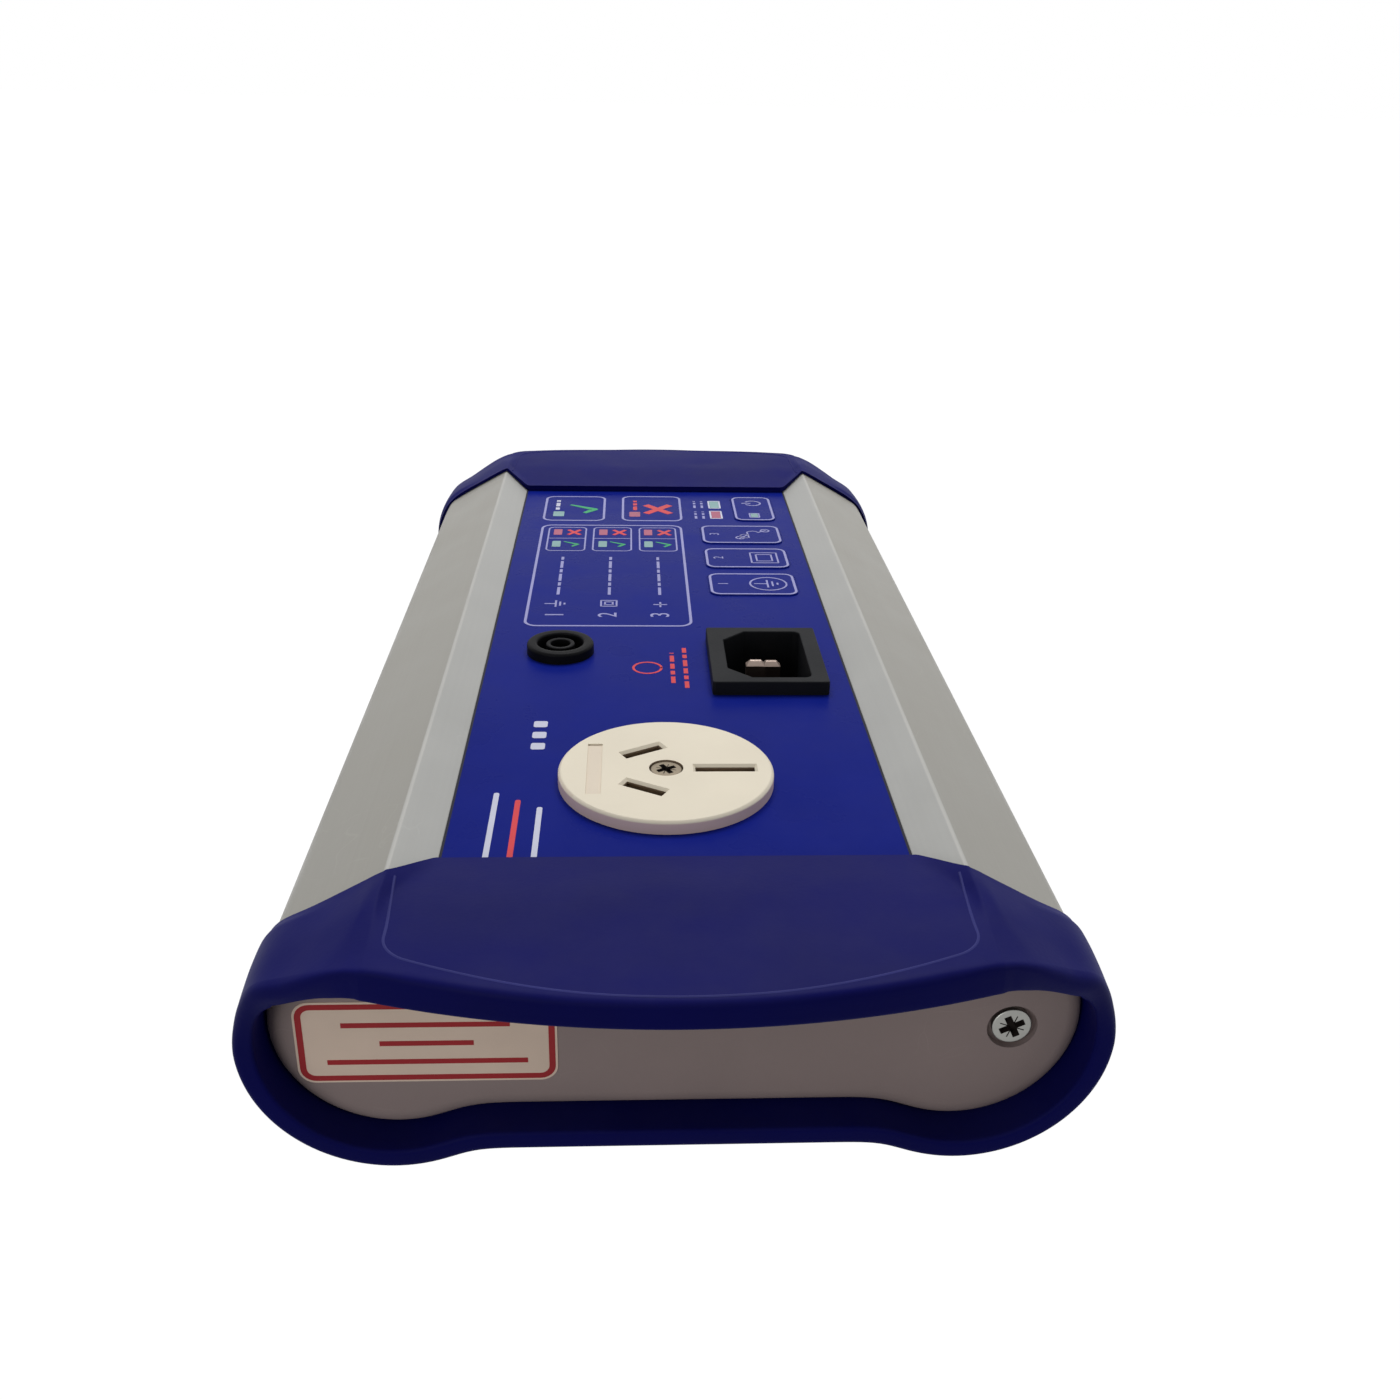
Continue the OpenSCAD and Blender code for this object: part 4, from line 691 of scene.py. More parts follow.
def outside(column, distance, mouth, inward=0.0):
    """Point (x, z) of the outer surface, moved inwards by some depth."""
    base, normal = OUTLINE[column], NORMALS[column]
    grow = mix(MOUTH_GROW, RIM_GROW, smooth_step(distance, mouth, GROW_END)) - inward
    corner = smooth_step(base.y, *CORNER_BAND_Z) * smooth_step(base.x, *CORNER_BAND_X)
    grow += corner * mix(CORNER_SWELL * smooth_step(distance, mouth, mouth + SWELL_LENGTH),
                         -CORNER_EASE, smooth_step(distance, *EASE_RUN))
    x, z = base.x + normal.x * grow, base.y + normal.y * grow
    if column < TOP_COLUMNS:
        shoulder = RIDGE_Z + (grow + inward) / SLOPE_COS - (x - RIDGE_X) * SLOPE
        z = top_height(x, distance, shoulder) - inward
    elif z > LOBE_Z and x < SHOULDER_EDGE_X:
        z = top_height(x, distance, z + inward) - inward
    return x, max(z, 0.0)


def inside(column, inset, roof):
    """Point (x, z) of an inner surface, inset from the case's outline, under a level roof."""
    base, normal = OUTLINE[column], NORMALS[column]
    if base.y > SHOULDER_END_Z:
        sideways = 0 if column < TOP_COLUMNS else normal.x * inset * smooth_step(base.x, *ROOF_BAND_X)
        x = base.x - sideways
        under_shoulder = RIDGE_Z - inset / SLOPE_COS - (x - RIDGE_X) * SLOPE
        return x, soft_min(roof, under_shoulder, ROOF_SOFT)
    return base.x - normal.x * inset, base.y - normal.y * inset


print("half width at the rim:",
      round(max(outside(i, RIM_D, mouth)[0] for i, mouth in enumerate(mouths)), 2), "mm")

# %% Rows of the bumper, from the mouth round to the mouth again
QUARTER = [math.radians(a) for a in (0, 18, 36, 54, 72, 90)]
MOUTH_ROUND, RIM_ROUND, SHOULDER_ROUND, CREST_ROUND, INNER_ROUND = 0.45, 0.9, 2.0, 0.9, 0.6
VISOR_UNDER, PLATE_INSET, FLANGE_INSET, FLANGE_ROOF = 37.7, 1.9, 5.2, 34.65
LIP_INSET, LIP_BAND_Z, LIP_BAND_X = 0.9, (28, 35), (RIDGE_X, 50)
VISOR_BAND_Z, SHOULDER_BAND_Z = (35, 42.5), (20, 32)
KNEE, OUTER_ROWS, SEAT_RISE = 6, 22, 3


def bumper_column(column, mouth):
    """The closed cross-section of the bumper at one column, as points (x, distance, z)."""
    base, normal = OUTLINE[column], NORMALS[column]
    edge = RIM_D
    if base.y > LOBE_Z - 1:
        edge = max(RIM_D, bow_edge(min(BUMPER_X, outside(column, RIM_D, mouth)[0])))
    corner = mix(mix(RIM_ROUND, SHOULDER_ROUND, smooth_step(base.y, *SHOULDER_BAND_Z)), CREST_ROUND,
                 smooth_step(base.y, *VISOR_BAND_Z))
    rows = []

    def put(distance, point):
        rows.append((point[0], distance, point[1]))

    for a in QUARTER:
        put(mouth + MOUTH_ROUND * (1 - math.sin(a)),
            outside(column, mouth, mouth, MOUTH_ROUND * (1 - math.cos(math.pi / 2 - a))))
    start, knee = mouth + MOUTH_ROUND, edge - KNEE
    for distance in steps(start, knee, (knee - start) / OUTER_ROWS)[1:]:
        put(distance, outside(column, distance, mouth))
    for distance in steps(knee, edge - corner, (KNEE - corner) / OUTER_ROWS):
        put(distance, outside(column, distance, mouth))
    for a in QUARTER:
        put(edge - corner * (1 - math.sin(a)), outside(column, edge, mouth, corner * (1 - math.cos(a))))
    deeper = LIP_INSET * smooth_step(base.y, *LIP_BAND_Z) * smooth_step(base.x, *LIP_BAND_X)
    lip = Vector(inside(column, PLATE_INSET + deeper, VISOR_UNDER))
    seat = inside(column, PLATE_INSET, VISOR_UNDER)
    face = Vector(outside(column, edge, mouth, corner))
    across = (face - lip).normalized()
    for t in (0.33, 0.67):
        put(edge, face.lerp(lip + across * INNER_ROUND, t))
    for a in QUARTER:
        put(edge - INNER_ROUND * (1 - math.cos(a)), lip + across * INNER_ROUND * (1 - math.sin(a)))
    for t in (0.3, 0.7, 1.0):
        put(mix(edge - INNER_ROUND, PLATE_D + SEAT_RISE, t), lip.lerp(Vector(seat), t))
    put(PLATE_D, seat)
    for distance in (PLATE_D, TUBE_D):
        put(distance, inside(column, FLANGE_INSET, FLANGE_ROOF))
    sleeve = (base.x + normal.x * SLEEVE, max(0.2, base.y + normal.y * SLEEVE))
    put(TUBE_D, sleeve)
    for t in (0.5, 0.0):
        put(mix(mouth + MOUTH_ROUND, TUBE_D, t), sleeve)
    return rows


HALF = [bumper_column(i, mouths[i]) for i in range(len(OUTLINE))]
print("bumper grid:", len(HALF), "columns in one half and", len(HALF[0]), "rows")

# %% Bumpers
def skin(half, turn, ring_rows):
    """Lays a grid over rings of points (x, distance, z) given for one half. The other half is its
    mirror. Rows join up into a ring too, or else both open ends are filled. turn is 1 for the
    keypad end and -1 for the outlet end, which is the same shape turned about Z."""
    whole = half + [[(-x, d, z) for x, d, z in rows] for rows in half[-2:0:-1]]
    columns, rows = len(whole), len(whole[0])
    spans = rows if ring_rows else rows - 1
    bm = bmesh.new()
    bmesh.ops.create_grid(bm, x_segments=columns, y_segments=spans, size=1.0)
    for vert in bm.verts:
        column = round((vert.co.x + 1) / 2 * columns) % columns
        row = round((vert.co.y + 1) / 2 * spans) % rows
        x, distance, z = whole[column][row]
        vert.co = Vector((turn * x, turn * distance, z)) * MM
    bmesh.ops.remove_doubles(bm, verts=bm.verts, dist=0.001 * MM)
    if not ring_rows:
        bmesh.ops.holes_fill(bm, edges=[e for e in bm.edges if e.is_boundary], sides=0)
    bmesh.ops.recalc_face_normals(bm, faces=bm.faces)
    return bm


for name, node, turn in (("bumper_keypad_end", "rear_bumper", 1), ("bumper_outlet_end", "front_bumper", -1)):
    piece(name, skin(HALF, turn, True), "bumper_rubber", node,
          sharp=math.radians(50), weighted=False)

# %% [markdown]
# A fine bead runs round the pad, and at the outlet end it is paler, a painted highlight. It could be a row
# of extra columns in the grid, but its path crosses them. So it is a curve with a round section, half sunk
# in the pad, and made into a mesh.

# %% Bead round the pad
BORDER_R, BORDER_D, BORDER_CORNER, BORDER_LEAN, BEAD_R, BEAD_SINK = 96.5, 140.1, 6.0, 0.9, 0.3, 0.2


def pad_border():
    """Points (x, distance) along the bead: a side that leans in, a corner, and a bow."""
    bow_centre = BORDER_D - BORDER_R
    side_x = PAD_X - BORDER_LEAN
    corner_x = side_x - BORDER_CORNER
    corner_d = bow_centre + math.sqrt((BORDER_R - BORDER_CORNER) ** 2 - corner_x ** 2)
    meet = math.atan2(corner_d - bow_centre, corner_x)
    half = [(mix(PAD_X, side_x, smooth_step(d, SHOULDER_D, corner_d)), d)
            for d in steps(SHOULDER_D, corner_d, 1.0)]
    half += [(corner_x + BORDER_CORNER * math.cos(a), corner_d + BORDER_CORNER * math.sin(a))
             for a in steps(0, meet, 0.1)]
    half += [(BORDER_R * math.cos(a), bow_centre + BORDER_R * math.sin(a))
             for a in steps(meet, math.pi / 2, 0.012)]
    return half + [(0, BORDER_D)] + [(-x, d) for x, d in reversed(half)]


def bead(name, turn, look):
    line = bpy.data.curves.new("bead", "CURVE")
    line.dimensions = "3D"
    line.bevel_depth = BEAD_R * MM
    line.bevel_resolution = 2
    line.use_fill_caps = True
    path = pad_border()
    spline = line.splines.new("POLY")
    spline.points.add(len(path) - 1)
    for point, (x, distance) in zip(spline.points, path):
        shoulder = RIDGE_Z + RIM_GROW - (abs(x) - RIDGE_X) * SLOPE
        z = top_height(abs(x), distance, shoulder) - BEAD_SINK
        point.co = (turn * x * MM, turn * distance * MM, z * MM, 1)
    bm = bmesh.new()
    add_curve(bm, line, Matrix.Identity(4))
    bmesh.ops.recalc_face_normals(bm, faces=bm.faces)
    piece(name, bm, look, weighted=False)


bead("pad_bead_keypad_end", 1, "bumper_rubber")
# The bead at the outlet end gets the paler blue, a painted highlight.
bead("pad_bead_outlet_end", -1, "bead_painted_highlight")

# %% [markdown]
# Each end plate is a slab whose outer edge rolls over, set a little inside the bumper's rim. It
# could be the CAD plate with a bevel, but rings of the bumper's own outline follow its soft
# corners all the way round. The rings step inwards as they rise, and the last one is filled. The
# screws' seats are cut at the end.

# %% End plates
SCREW_X, SCREW_Z, SEAT_R, SEAT_DEPTH = 50.8, 20.8, 3.9, 1.4
PLATE_GAP, PLATE_FACE, PLATE_ROUND, PLATE_RISE = 0.3, 120.0, 2.6, 1.7
TIPPED = Matrix.Rotation(math.pi / 2, 4, "X")


def plate_point(column, inward):
    return inside(column, PLATE_INSET + PLATE_GAP + inward, VISOR_UNDER - PLATE_GAP - inward)


def plate_column(column):
    """Points of the plate's edge at one column, from its back to its face."""
    x, z = plate_point(column, 0)
    rows = [(x, PLATE_D, z)]
    for a in QUARTER:
        x, z = plate_point(column, PLATE_ROUND * (1 - math.cos(a)))
        rows.append((x, PLATE_FACE - PLATE_RISE * (1 - math.sin(a)), z))
    return rows


def end_plate(name, node, turn):
    """turn is 1 at the keypad end and -1 at the outlet end."""
    plate = skin([plate_column(i) for i in range(len(OUTLINE))], turn, False)
    cutter = bmesh.new()
    for side in (-1, 1):
        centre = Vector((side * SCREW_X, turn * PLATE_FACE, SCREW_Z)) * MM
        cylinder(cutter, centre, SEAT_R * MM, 2 * SEAT_DEPTH * MM, TIPPED)
    plate = carve(plate, cutter)
    bmesh.ops.recalc_face_normals(plate, faces=plate.faces)
    piece(name, plate, "plate_paint", node, sharp=math.radians(40))


end_plate("plate_keypad_end", "rear_end_plate", 1)
end_plate("plate_outlet_end", "front_end_plate", -1)

# %% [markdown]
# Each screw has a flat head with a small round edge, so its profile is spun round its axis. The recess could
# be a dark cross painted on top, but it has real depth: two tapered bars, each a box whose far end is drawn
# narrower, are cut out crosswise. Four short ticks lie between the arms, as on a driver recess of this kind,
# and the cut faces get a near-black painted shade.

# %% Screws
THREAD_ROOT, UNDER_HEAD, EDGE_FLAT = 0.5, 0.97, 0.7
RECESS, TICK = (1.3, 0.36, 0.85), (1.3, 0.06, 0.09)
RECESS_TAPER, RECESS_TOP, RECESS_REACH = (0.25, 0.2), 0.97, 0.75
UP = Vector((0, 0, 1))


def stand_along(axis):
    """The turn that stands +Z along an axis."""
    return UP.rotation_difference(Vector(axis)).to_matrix().to_4x4()


def spun(profile, centre, axis, segments=64):
    """Spins points (radius, height) round an axis through the centre into a closed skin."""
    bm = bmesh.new()
    verts = [bm.verts.new((radius, 0, height)) for radius, height in profile]
    edges = [bm.edges.new(pair) for pair in zip(verts, verts[1:])]
    bmesh.ops.spin(bm, geom=verts + edges, cent=(0, 0, 0), axis=UP, angle=2 * math.pi,
                   steps=segments, use_merge=True)
    bmesh.ops.remove_doubles(bm, verts=bm.verts, dist=0.001 * MM)
    bmesh.ops.recalc_face_normals(bm, faces=bm.faces)
    bmesh.ops.transform(bm, matrix=Matrix.Translation(centre) @ stand_along(axis), verts=bm.verts)
    return bm


def recess_bar(bm, centre, axis, angle, length, width, depth):
    """A tapered bar for a cross recess, of full size at the centre's height."""
    def shape(corner):
        away = 2 * corner.z
        return (corner.x * length * (1 + RECESS_TAPER[0] * away),
                corner.y * width * (1 + RECESS_TAPER[1] * away), away * depth)
    shaped_box(bm, centre, stand_along(axis) @ Matrix.Rotation(angle, 4, "Z"), shape)


def screw(centre, axis, radius, height, length, angle, edge, shank=1.6):
    """A screw with its seat at the centre and a flat head, drawn without its thread. Sizes are
    in millimetres. The recess and the ticks are shares of the head's radius and height."""
    centre, axis = Vector(centre), Vector(axis)
    radius, height, length, edge, shank = (v * MM for v in (radius, height, length, edge, shank))
    crown = [(radius - edge * (1 - math.cos(a)), height - edge * EDGE_FLAT * (1 - math.sin(a)))
             for a in QUARTER]
    foot = [(0, -length), (shank * THREAD_ROOT, -length), (shank, -length + shank), (shank, 0),
            (radius * UNDER_HEAD, 0)]
    bm = spun(foot + crown + [(0, height)], centre, axis)
    cutter = bmesh.new()
    for turn in (0, math.pi / 2):
        for (long, wide, deep), more in ((RECESS, 0), (TICK, math.pi / 4)):
            recess_bar(cutter, centre + axis * height, axis, angle + turn + more,
                       radius * long, radius * wide, height * deep)
    bm = carve(bm, cutter)
    # Faces inside the recess get index 1, a near-black painted shade.
    for face in bm.faces:
        away = face.calc_center_median() - centre
        along = away.dot(axis)
        cut = 0 < along < height * RECESS_TOP and (away - axis * along).length < radius * RECESS_REACH
        face.material_index = 1 if cut else 0
    return bm


def end_screws(name, node, turn, angles):
    """Both screws of an end plate, as one piece."""
    both = bmesh.new()
    for side, angle in zip((-1, 1), angles):
        seat = Vector((side * SCREW_X, turn * (PLATE_FACE - SEAT_DEPTH), SCREW_Z)) * MM
        one = mesh_of(screw(seat, (0, turn, 0), radius=3.1, height=1.3, length=12, angle=angle,
                            edge=0.35))
        both.from_mesh(one)
        bpy.data.meshes.remove(one)
    piece(name, both, "screw_steel recess_grime", node)


end_screws("screws_keypad_end", "rear_end_screws", 1, (0.3, 1.1))
end_screws("screws_outlet_end", "front_end_screws", -1, (0.9, 0.45))

# %% [markdown]
# The outlet's face keeps its CAD shape, with an outer edge as soft as on a moulding. Each slot has a lead-in
# that slopes down to it and a shelf below. They could be modelled face by face, but boxes cut them out of
# the disc in two passes: tapered ones for the lead-ins and straight ones for the shelves. The disc's side
# gets a pinker tint as painted light, and the slots' walls a dark painted shade. The floor of its shallow
# recess has a slightly darker tone of its own.

# %% Outlet
outlet_low, outlet_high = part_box("outlet_plate")
outlet_centre = (outlet_low + outlet_high) / 2
SLOTS = (((-3.96, 6.86), 30, 7.6), ((-3.96, -6.86), -30, 7.6), ((10.3, 0.0), 0, 10.4))
SLOT_W, LEAD_IN, LEAD_IN_DEPTH = 2.0, 0.9, 0.5
SHELF_WIDER, SHELF_LEVEL, SHELF_DEPTH = 1.4, 2.4, 0.9
DISC_RIM, DISC_FOOT, DISC_ROUND = 17 * MM, 1.5 * MM, 0.16
RECESS_X, RECESS_Y, RECESS_LOW, RECESS_HIGH = -9.5 * MM, 9.5 * MM, 0.2, 0.4
WALL_FROM = 0.05


def slot_cuts(wide, below, depth, flare):
    """Box cutters round the slots. Their size holds below the face and shrinks by flare."""
    cutters = bmesh.new()
    for (x, y), degrees, length in SLOTS:
        def shape(corner):
            grow = wide + 2 * corner.z * flare
            return Vector((corner.x * (length + grow), corner.y * (SLOT_W + grow),
                           2 * corner.z * depth)) * MM
        centre = outlet_centre + Vector((x * MM, y * MM, 0))
        centre.z = outlet_high.z - below * MM
        shaped_box(cutters, centre, Matrix.Rotation(math.radians(degrees), 4, "Z"), shape)
    return cutters


def outlet_finish(face):
    """Which of the disc's finishes a face has: 2 is its side, 3 the slots, 1 the recess."""
    centre = face.calc_center_median() - outlet_centre
    below = (outlet_high.z - outlet_centre.z - centre.z) / MM
    upright = abs(face.normal.z) < 0.5
    # The side, index 2, is a pinker tint as painted light; the slots' walls, index 3, are a dark painted
    # shade.
    if upright and centre.xy.length > DISC_RIM:
        return 2
    if upright and below > LEAD_IN_DEPTH - WALL_FROM:
        return 3
    beside = centre.x < RECESS_X and abs(centre.y) < RECESS_Y
    return 1 if beside and RECESS_LOW < below < RECESS_HIGH else 0


outlet = cad_copy("outlet_plate")
round_edges(outlet, DISC_ROUND, 2, lambda e: middle(e).z > panel_z + DISC_FOOT and
            (middle(e).xy - outlet_centre.xy).length > DISC_RIM, degrees=35)
outlet = carve(outlet, slot_cuts(LEAD_IN, 0, LEAD_IN_DEPTH, LEAD_IN))
outlet = carve(outlet, slot_cuts(SHELF_WIDER, SHELF_LEVEL, SHELF_LEVEL - SHELF_DEPTH, 0.0))
for face in outlet.faces:
    face.material_index = outlet_finish(face)
piece("outlet_face", outlet, "outlet_plastic recess_shade rim_shade slot_shade",
      "outlet_plate")
HEAD_H = 1.1
screw_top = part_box("outlet_screw")[1].z
head_seat = Vector((outlet_centre.x, outlet_centre.y, screw_top - HEAD_H * MM))
head = screw(head_seat, UP, radius=2.75, height=HEAD_H, length=13, angle=0.5, edge=0.25)
piece("outlet_centre_screw", head, "aged_steel recess_grime", "outlet_screw")

# %% [markdown]
# The inlet's three pins stand deep in its shroud, so that only their bright tips catch the light. A gradient
# could do that, but one cut across each pin gives the tip faces of its own, which get the bright finish and
# draw in a little towards the end, while the rest of each pin gets a dark painted shade. The pins' edges are
# rounded, and the pins raised a little, down to two depths below the panel.

# %% Inlet and its pins
TIP_LENGTH, TIP_REACH, TIP_TAPER = 1.1 * MM, 0.6 * MM, 0.8
ROUNDED_DOWN_TO, RAISED_DOWN_TO = 4 * MM, 5 * MM
SHROUD_ROUND, SHROUD_FOOT, PIN_ROUND = 0.3, 1 * MM, 0.25
inlet = cad_copy("inlet_housing")
round_edges(inlet, SHROUD_ROUND, 3, lambda e: middle(e).z > panel_z + SHROUD_FOOT, degrees=35)
piece("inlet_body", inlet, "inlet_plastic", "inlet_housing")


def islands(bm):
    """The separate closed parts of a bmesh, each as a set of vertices."""
    left, found = set(bm.verts), []
    while left:
        near, island = [left.pop()], set()
        while near:
            vert = near.pop()
            island.add(vert)
            linked = {edge.other_vert(vert) for edge in vert.link_edges} & left
            left -= linked
            near += linked
        found.append(island)
    return found


def faces_of(island):
    return {face for vert in island for face in vert.link_faces}


pins = cad_copy("inlet_pins")
round_edges(pins, PIN_ROUND, 2, lambda e: middle(e).z > panel_z - ROUNDED_DOWN_TO, degrees=28)
for blade in islands(pins):
    cut_z = max(vert.co.z for vert in blade) - TIP_LENGTH
    parts = faces_of(blade) | {edge for vert in blade for edge in vert.link_edges} | blade
    bmesh.ops.bisect_plane(pins, geom=list(parts), plane_co=(0, 0, cut_z), plane_no=UP)
for blade in islands(pins):
    tip = max(vert.co.z for vert in blade)
    core = sum((vert.co for vert in blade), Vector()) / len(blade)
    # Faces below the tip get index 1, a dark painted shade.
    for face in faces_of(blade):
        face.material_index = 0 if face.calc_center_median().z > tip - TIP_LENGTH else 1
    for vert in blade:
        if vert.co.z > tip - TIP_LENGTH / 2:
            vert.co.xy = core.xy + (vert.co.xy - core.xy) * TIP_TAPER
for vert in pins.verts:
    vert.co.z += TIP_REACH if vert.co.z > panel_z - RAISED_DOWN_TO else 0
piece("inlet_blades", pins, "pin_copper pin_shade", "inlet_pins")

# %% [markdown]
# The jack is round all over: a fat flange with a fully round top, a guard groove, and a sleeve
# round the bore. Stacked cylinders would leave hard corners, so one profile with its roundings
# is spun round the jack's axis.

# %% Jack
jack_low, jack_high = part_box("jack_body")
jack_axis = Vector(((jack_low.x + jack_high.x) / 2, (jack_low.y + jack_high.y) / 2, jack_low.z))
JACK_PROUD = 0.3
JACK_H, FLANGE_UNDER = (jack_high.z - jack_low.z) / MM + JACK_PROUD, (panel_z - jack_low.z) / MM
BARREL_R, FLANGE_R, GROOVE_R, SLEEVE_R, CHAMBER_R, BORE_R = 5.9, 7.05, 4.85, 3.05, 2.75, 2.1
FLANGE_ROUND, GROOVE_ROUND, SLEEVE_ROUND, BORE_ROUND = 0.7, 0.5, 0.3, 0.25
FLANGE_LEVEL, GROOVE_LEVEL, SLEEVE_LEVEL = JACK_H - 0.75, JACK_H - 0.55, JACK_H - 0.4
GROOVE_DEPTH, CHAMBER_DEPTH = 14, 5.3


def round_corner(radius, height, size, start):
    """A quarter circle of points (radius, height), from its start angle."""
    return [(radius + size * math.cos(start + a), height + size * math.sin(start + a))
            for a in QUARTER]


jack_profile = [
    (CHAMBER_R, 0), (BARREL_R, 0), (BARREL_R, FLANGE_UNDER), (FLANGE_R, FLANGE_UNDER),
    *round_corner(FLANGE_R - FLANGE_ROUND, FLANGE_LEVEL, FLANGE_ROUND, 0),
    (BARREL_R, JACK_H),
    *round_corner(GROOVE_R + GROOVE_ROUND, GROOVE_LEVEL, GROOVE_ROUND, math.pi / 2),
    (GROOVE_R, JACK_H - GROOVE_DEPTH), (SLEEVE_R, JACK_H - GROOVE_DEPTH),
    *round_corner(SLEEVE_R - SLEEVE_ROUND, SLEEVE_LEVEL - SLEEVE_ROUND, SLEEVE_ROUND, 0),
    *round_corner(BORE_R + BORE_ROUND, SLEEVE_LEVEL - BORE_ROUND, BORE_ROUND, math.pi / 2)[1:],
    (BORE_R, JACK_H - CHAMBER_DEPTH), (CHAMBER_R, JACK_H - CHAMBER_DEPTH), (CHAMBER_R, 0)]
jack = spun([(r * MM, h * MM) for r, h in jack_profile], jack_axis, UP, 96)
piece("jack_shell", jack, "jack_plastic", "jack_body")

# %% [markdown]
# The print on the real film is ink. An image texture would blur close up, so each mark is a thin
# slab of ink a few hundredths of a millimetre proud. A frame is a plane whose corners are
# bevelled and whose face is inset, so that only the rim is left. Strokes are thin bars, and the
# numbers come from a text object made into a mesh.

# %% Print helpers
INK, STEP = 0.04 * MM, 0.005 * MM
KEY_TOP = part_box("key_lead")[1].z
CORNER_SEGMENTS, TEXT_SCALE = 6, 1.4


def slab(bm, faces, level):
    """Draws faces that lie at zero height up into a slab of ink, and lifts it to a level."""
    grown = bmesh.ops.extrude_face_region(bm, geom=faces)["geom"]
    top = [g for g in grown if isinstance(g, bmesh.types.BMVert)]
    bmesh.ops.translate(bm, vec=(0, 0, INK), verts=top)
    everything = list({v for f in faces for v in f.verts} | set(top))
    bmesh.ops.translate(bm, vec=(0, 0, level), verts=everything)


def rounded_plane(bm, low, high, corner):
    """A flat face with round corners, between two corners in millimetres."""
    plane = bmesh.ops.create_grid(bm, x_segments=1, y_segments=1, size=0.5)["verts"]
    size = Vector((high[0] - low[0], high[1] - low[1], 0)) * MM
    centre = Vector(((low[0] + high[0]) / 2, (low[1] + high[1]) / 2, 0)) * MM
    for vert in plane:
        vert.co = Vector((vert.co.x * size.x, vert.co.y * size.y, 0)) + centre
    bmesh.ops.bevel(bm, geom=plane, offset=corner * MM, offset_type="OFFSET", profile=0.5,
                    segments=CORNER_SEGMENTS, affect="VERTICES", clamp_overlap=True, material=-1)
    return max((f for f in bm.faces if f.calc_center_median().z == 0 and
                (f.calc_center_median() - centre).length < 0.01 * MM), key=lambda f: f.calc_area())


def frame_print(bm, low, high, corner, line, level):
    """A thin rounded frame."""
    face = rounded_plane(bm, low, high, corner)
    ring = bmesh.ops.inset_region(bm, faces=[face], thickness=line * MM, use_even_offset=True,
                                  use_boundary=True)["faces"]
    bmesh.ops.delete(bm, geom=[face], context="FACES")
    slab(bm, ring, level)


def patch_print(bm, low, high, corner, level):
    """A filled rounded rectangle."""
    slab(bm, [rounded_plane(bm, low, high, corner)], level)


def window_print(bm, x, half, low, high, corner, level):
    """A patch that reaches half its width to either side of x, and along Y from low to high."""
    patch_print(bm, (x - half, low), (x + half, high), corner, level)


def stroke(bm, start, end, width, level, taper=1.0):
    """A straight bar between two points, as wide at its end as taper says."""
    a, b = Vector(start) * MM, Vector(end) * MM

    def shape(corner):
        wide = width * (taper if corner.x > 0 else 1.0) * MM
        return corner.x * (b - a).length, corner.y * wide, (corner.z + 0.5) * INK
    centre = ((a + b) / 2).to_3d()
    centre.z = level
    shaped_box(bm, centre, Matrix.Rotation(math.atan2(b.y - a.y, b.x - a.x), 4, "Z"), shape)


def dot(bm, centre, radius, level):
    place = Vector((centre[0] * MM, centre[1] * MM, level + INK / 2 + STEP))
    cylinder(bm, place, radius * MM, INK, segments=20)


def strokes(bm, points, width, level):
    """A line of bars through points, with a round dot at each joint."""
    for start, end in zip(points, points[1:]):
        stroke(bm, start, end, width, level)
    for point in points:
        dot(bm, point, width / 2, level)


def arc(centre, radius, start, stop, count=24):
    """Points on a circle, from one angle in degrees to another."""
    turns = [math.radians(mix(start, stop, i / count)) for i in range(count + 1)]
    return [(centre[0] + radius * math.cos(a), centre[1] + radius * math.sin(a)) for a in turns]


def number_print(bm, digits, centre, height, level):
    """Plain numbers that read along +Y, made from a text object."""
    text = bpy.data.curves.new("digits", "FONT")
    text.body = digits
    text.size = height * TEXT_SCALE * MM
    text.extrude = INK / 2
    text.align_x = text.align_y = "CENTER"
    place = Matrix.Translation((centre[0] * MM, centre[1] * MM, level + INK / 2))
    add_curve(bm, text, place @ Matrix.Rotation(math.pi / 2, 4, "Z"))


print("ink lies", round(INK / MM, 3), "mm proud, and the keys' tops are at", round(KEY_TOP / MM, 2), "mm")

# %% [markdown]
# The panel has frames round its lamps, ticks and crosses for passed and failed tests, plain
# numbers and common symbols. Every mark could be a piece of its own, but one bmesh for each ink
# keeps the list of pieces short and gives all marks of a colour the same finish.

# %% Panel print: frames, ticks, crosses and test rows
LINE, BOX_LINE, RULE_LINE = 0.62, 0.4, 0.35
BIG_FRAMES = (((-31.4, 74.4), (-14.4, 97.5), 2.6), ((-9.8, 74.5), (6.9, 98.0), 2.6),
              ((-31.2, -3.0), (6.5, 70.7), 3.0))
ROWS = ((-26.6, -29.2, -19.0), (-14.6, -17.3, -7.0), (-2.7, -5.2, 4.8))
BOX_LOW, BOX_RULE, BOX_HIGH = 48.8, 59.1, 68.6
RED_SPAN, GREEN_SPAN, ROW_WINDOW = (62.0, 66.7), (52.1, 56.8), 1.1
CROSS_AT, TICK_AT, NUMBER_AT = (4.3, 64.2), (5.5, 54.2), (2.2, 4.0)
LAMP_Y, LAMP_WINDOW, LAMP_REACH = 80.6, 1.5, 2.2
pale, green, red, white, green_glow, red_glow = (bmesh.new() for _ in range(6))


